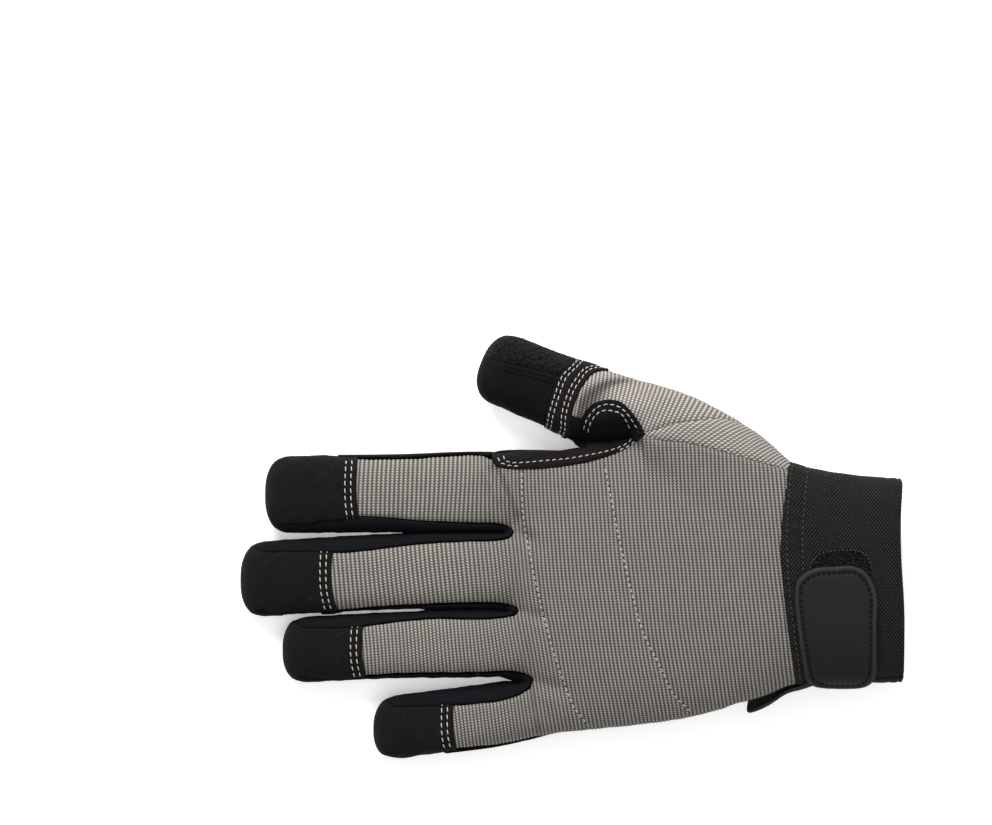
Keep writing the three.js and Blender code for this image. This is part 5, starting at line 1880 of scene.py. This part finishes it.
def length_property(name, description, default, low, high):
    """A length in metres that a user can change."""
    return bpy.props.FloatProperty(name=name, description=description, default=default, min=low, max=high,
                                   precision=5, unit="LENGTH")


class GloveSizes(bpy.types.PropertyGroup):
    """Sizes of the glove's cloth and stitching."""
    rib_depth: length_property("Rib depth", "Height of the knit's ribs over their grooves",
                               0.00034, 0.0, 0.001)
    stitch_length: length_property("Stitch length", "Length of one white stitch that shows",
                                   0.0019, 0.0005, 0.004)
    stitch_width: length_property("Thread width", "Width of the white thread", 0.00045, 0.0002, 0.002)


def shade(name, description, colour):
    """A colour that a user can change."""
    return bpy.props.FloatVectorProperty(
        name=name, description=description, default=linear(colour), size=4, subtype="COLOR", min=0.0, max=1.0)


class GloveColours(bpy.types.PropertyGroup):
    """Colours of the glove's materials."""
    knit: shade("Knit", "Backs of the knit's ribs", 0x8B8781)
    # painted shade in the grooves between the knit's ribs
    knit_shade: shade("Knit grooves", "Between the knit's ribs", 0x423F3B)
    # Painted light: the thumb's knit is the back's knit in paler colours, for the light that its slanting
    # ribs catch; its groove colour is painted shade as well
    thumb_knit: shade("Thumb knit", "Backs of the thumb knit's ribs, paler with painted light", 0xA6A19B)
    thumb_knit_shade: shade("Thumb knit grooves", "Painted shade between the thumb knit's ribs, paler with painted light", 0x5C5751)
    suede: shade("Suede", "Palm, caps and reinforcements", 0x11100F)
    trim_suede: shade("Trim suede", "Band of the thumb and strip at its crotch", 0x13100F)
    tip_suede: shade("Tip suede", "Tip of the thumb and half moon in its crotch", 0x0A0A0A)
    strap_suede: shade("Strap suede", "Strap of the closure", 0x2B2B2C)
    stretch: shade("Smooth stretch", "Strips between the fingers", 0x0B0C0F)
    terry: shade("Terry", "Wipe on the thumb", 0x0D1012)
    elastic: shade("Elastic", "Cuff", 0x211F1D)
    pile: shade("Loop pile", "Loop half of the closure", 0x080808)
    rubber: shade("Rubber", "Moulded tab of the closure", 0x0F1011)
    white_thread: shade("White thread", "Decorative stitches", 0xA9A7A4)
    cuff_thread: shade("Dark grey thread", "Seam of the cuff", 0x363A3E)
    quilt_thread: shade("Grey thread", "Quilting of the back", 0x9A9894)
    black_thread: shade("Black thread", "Plain stitches", 0x050505)


# How each finish is made, the name of its material and its colours
FINISHES = {
    "knit": (knit_material, "ribbed_polyester_knit", "knit", "knit_shade"),
    # painted light: the paler copy of the knit, for the thumb
    "thumb_knit": (knit_material, "stretched_ribbed_knit", "thumb_knit", "thumb_knit_shade"),
    "suede": (suede_material, "microfibre_suede", "suede"),
    "trim_suede": (suede_material, "brushed_trim_suede", "trim_suede"),
    "strap_suede": (suede_material, "worn_strap_suede", "strap_suede"),
    # a darker copy of the suede, for the thumb's tip and the half moon in its crotch
    "tip_suede": (suede_material, "close_napped_suede", "tip_suede"),
    "smooth_stretch": (stretch_material, "smooth_stretch_knit", "stretch"),
    "terry": (terry_material, "terry_cloth", "terry"),
    "elastic": (elastic_material, "woven_elastic", "elastic"),
    "loop_pile": (pile_material, "loop_pile", "pile"),
    "moulded_rubber": (rubber_material, "moulded_rubber", "rubber"),
    "white_thread": (thread_material, "white_polyester_thread", "white_thread"),
    "cuff_thread": (thread_material, "dark_polyester_thread", "cuff_thread"),
    "quilt_thread": (thread_material, "grey_polyester_thread", "quilt_thread"),
    "black_thread": (thread_material, "black_polyester_thread", "black_thread"),
}
MADE = {}


def finish_of(name):
    """The material of a finish, made the first time it is asked for."""
    if name not in MADE:
        make, material, *colours = FINISHES[name]
        group = bpy.context.scene.glove_colours
        MADE[name] = make(material, *(tuple(getattr(group, colour)) for colour in colours))
    return MADE[name]


def sewn(piece, slot, node, finish=None):
    """Finishes a sheet that stands for a CAD node: names it after the node, gives it the material of its
    finish, or of its slot where no finish is given, and hides the node.
    """
    piece.name = f"{node}_cloth"
    dress(piece, finish_of(finish or slot), [node])


class PieceOperator:
    """What the operators of this glove share."""
    bl_options = {"REGISTER", "UNDO"}

    def execute(self, context):
        self.build(context.scene.glove_sizes)
        return {"FINISHED"}


class GLOVE_OT_back_panel(PieceOperator, bpy.types.Operator):
    """Knit the back of the hand with the backs of the four fingers"""
    bl_idname = "glove.back_panel"
    bl_label = "Back panel"

    def build(self, sizes):
        sewn(make_back_panel(sizes), "knit", "back_panel")


class GLOVE_OT_fingertip_caps(PieceOperator, bpy.types.Operator):
    """Draw a suede cap over each fingertip"""
    bl_idname = "glove.fingertip_caps"
    bl_label = "Fingertip caps"

    def build(self, sizes):
        for name in FINGERS:
            sewn(make_cap(name), "suede", f"fingertip_cap_{name}")


class GLOVE_OT_fourchettes(PieceOperator, bpy.types.Operator):
    """Set the smooth strips between the fingers"""
    bl_idname = "glove.fourchettes"
    bl_label = "Strips between the fingers"

    def build(self, sizes):
        for name in WEBS:
            sewn(make_fourchette(name), "smooth_stretch", f"fourchette_{name}")


class GLOVE_OT_palm(PieceOperator, bpy.types.Operator):
    """Cut the suede palm and sew its two reinforcements on"""
    bl_idname = "glove.palm"
    bl_label = "Palm"

    def build(self, sizes):
        sewn(make_palm_panel(), "suede", "palm_panel")
        for name, outline in PALM_PATCHES.items():
            sewn(make_palm_patch(name, outline), "suede", name)


class GLOVE_OT_stitching(PieceOperator, bpy.types.Operator):
    """Sew the rows of white and black stitches"""
    bl_idname = "glove.stitching"
    bl_label = "Stitching"

    def build(self, sizes):
        make_stitching(sizes)


class GLOVE_OT_thumb_knit(PieceOperator, bpy.types.Operator):
    """Knit the back of the thumb and the gusset beside it"""
    bl_idname = "glove.thumb_knit"
    bl_label = "Thumb knit"

    def build(self, sizes):
        # the thumb's knit takes the paler copy of the knit, with painted light
        sewn(make_thumb_back(sizes), "knit", "thumb_back", finish="thumb_knit")
        sewn(make_thumb_gusset(sizes), "knit", "thumb_gusset", finish="thumb_knit")


class GLOVE_OT_thumb_tip(PieceOperator, bpy.types.Operator):
    """Cover the tip of the thumb in terry and suede, with the band behind it"""
    bl_idname = "glove.thumb_tip"
    bl_label = "Thumb tip"

    def build(self, sizes):
        terry, leather = make_thumb_tip()
        sewn(terry, "terry", "thumb_tip_terry")
        sewn(leather, "suede", "thumb_tip_leather", finish="tip_suede")
        sewn(make_thumb_band(), "suede", "thumb_band", finish="trim_suede")


class GLOVE_OT_thumb_crotch(PieceOperator, bpy.types.Operator):
    """Sew the half moon and the strip into the crotch of the thumb"""
    bl_idname = "glove.thumb_crotch"
    bl_label = "Crotch of the thumb"

    def build(self, sizes):
        sewn(make_crotch_patch(), "suede", "crotch_patch", "tip_suede")
        sewn(make_saddle_strip(), "suede", "saddle_strip", finish="trim_suede")


class GLOVE_OT_cuff(PieceOperator, bpy.types.Operator):
    """Weave the cuff"""
    bl_idname = "glove.cuff"
    bl_label = "Cuff"

    def build(self, sizes):
        sewn(make_cuff_band(), "elastic", "cuff_band")


class GLOVE_OT_closure(PieceOperator, bpy.types.Operator):
    """Put the loop patch, the strap and its moulded tab on the cuff"""
    bl_idname = "glove.closure"
    bl_label = "Closure"

    def build(self, sizes):
        sewn(make_loop_patch(), "loop_pile", "loop_patch")
        sewn(make_closure_strap(), "suede", "closure_strap", "strap_suede")
        tab = dress(make_closure_tab(), finish_of("moulded_rubber"), ["closure_tab"])
        tab.name = "closure_tab_rubber"


class GLOVE_OT_pull_tab(PieceOperator, bpy.types.Operator):
    """Fold the pull tab under the cuff"""
    bl_idname = "glove.pull_tab"
    bl_label = "Pull tab"

    def build(self, sizes):
        sewn(make_pull_tab(), "suede", "pull_tab")


# Studio

# The picture's middle in the plan, its width, and the height at which it is so wide
PICTURE_MIDDLE = (-28.8, 50.5)
PICTURE_WIDTH = 374.0
PICTURE_LEVEL = 14.0
LENS, SENSOR = 300.0, 36.0  # of the camera
FLOOR_SIZE, FLOOR_LEVEL = 6, -0.0002  # metres
AMBIENT = 0.55
WHITE = (1, 1, 1, 1)
# Name, place in metres, size in metres and power in watts
LAMPS = (
    ("key_light", (-0.35, 1.5, 1.1), 1.2, 60.0),
    ("fill_light", (0.3, -0.5, 1.7), 1.4, 12.0),
)


def area_light(name, place, aim, size, power):
    """A soft square lamp that faces a point. Lengths in metres, power in watts."""
    lamp = bpy.data.lights.new(name, "AREA")
    lamp.shape = "SQUARE"
    lamp.size = size
    lamp.energy = power
    made = bpy.data.objects.new(name, lamp)
    made.location = place
    made.rotation_euler = (Vector(aim) - Vector(place)).to_track_quat("-Z", "Y").to_euler()
    bpy.context.collection.objects.link(made)


class GLOVE_OT_studio(bpy.types.Operator):
    """Set the floor, the lights and the camera"""
    bl_idname = "glove.studio"
    bl_label = "Studio"
    bl_options = {"REGISTER", "UNDO"}

    def execute(self, context):
        bpy.ops.object.select_all(action="DESELECT")
        bpy.ops.mesh.primitive_plane_add(size=FLOOR_SIZE, location=(0, 0, FLOOR_LEVEL))
        floor = context.active_object
        floor.name = "studio_floor"
        bpy.ops.object.transform_apply(location=True)
        floor.data.materials.append(paper_material("white_paper", linear(0xF4F4F4)))
        middle = (np.array((*PICTURE_MIDDLE, 0.0)) + TO_PACKED) * MM
        for name, place, size, power in LAMPS:
            area_light(name, place, middle, size, power)
        world = bpy.data.worlds.new("studio")
        world.use_nodes = True
        background = world.node_tree.nodes["Background"]
        background.inputs["Color"].default_value = WHITE
        background.inputs["Strength"].default_value = AMBIENT
        context.scene.world = world
        context.scene.view_settings.view_transform = "Standard"
        camera = bpy.data.cameras.new("camera")
        camera.lens = LENS
        camera.sensor_width = SENSOR
        camera.clip_start = 0.01
        eye = bpy.data.objects.new("camera", camera)
        eye.location = (middle[0], middle[1], (PICTURE_WIDTH * LENS / SENSOR + PICTURE_LEVEL) * MM)
        context.collection.objects.link(eye)
        context.scene.camera = eye
        return {"FINISHED"}


OPERATORS = (GLOVE_OT_back_panel, GLOVE_OT_fingertip_caps, GLOVE_OT_fourchettes, GLOVE_OT_palm,
             GLOVE_OT_thumb_knit, GLOVE_OT_thumb_tip, GLOVE_OT_thumb_crotch, GLOVE_OT_cuff, GLOVE_OT_closure,
             GLOVE_OT_pull_tab, GLOVE_OT_stitching, GLOVE_OT_studio)


class GLOVE_PT_panel(bpy.types.Panel):
    """Lists the glove's pieces, sizes and colours."""
    bl_idname = "GLOVE_PT_panel"
    bl_label = "Mechanic glove"
    bl_space_type = "VIEW_3D"
    bl_region_type = "UI"
    bl_category = "Glove"

    def draw(self, context):
        for group in (context.scene.glove_sizes, context.scene.glove_colours):
            for name in group.__annotations__:
                self.layout.prop(group, name)
        for operator in OPERATORS:
            self.layout.operator(operator.bl_idname)


CLASSES = (GloveSizes, GloveColours) + OPERATORS + (GLOVE_PT_panel,)


def register():
    for made in CLASSES:
        bpy.utils.register_class(made)
    bpy.types.Scene.glove_sizes = bpy.props.PointerProperty(type=GloveSizes)
    bpy.types.Scene.glove_colours = bpy.props.PointerProperty(type=GloveColours)


def unregister():
    del bpy.types.Scene.glove_colours
    del bpy.types.Scene.glove_sizes
    for made in reversed(CLASSES):
        bpy.utils.unregister_class(made)


def main():
    register()
    bpy.ops.object.select_all(action="DESELECT")
    for operator in OPERATORS:
        family, name = operator.bl_idname.split(".")
        getattr(getattr(bpy.ops, family), name)()


if __name__ == "__main__":
    main()
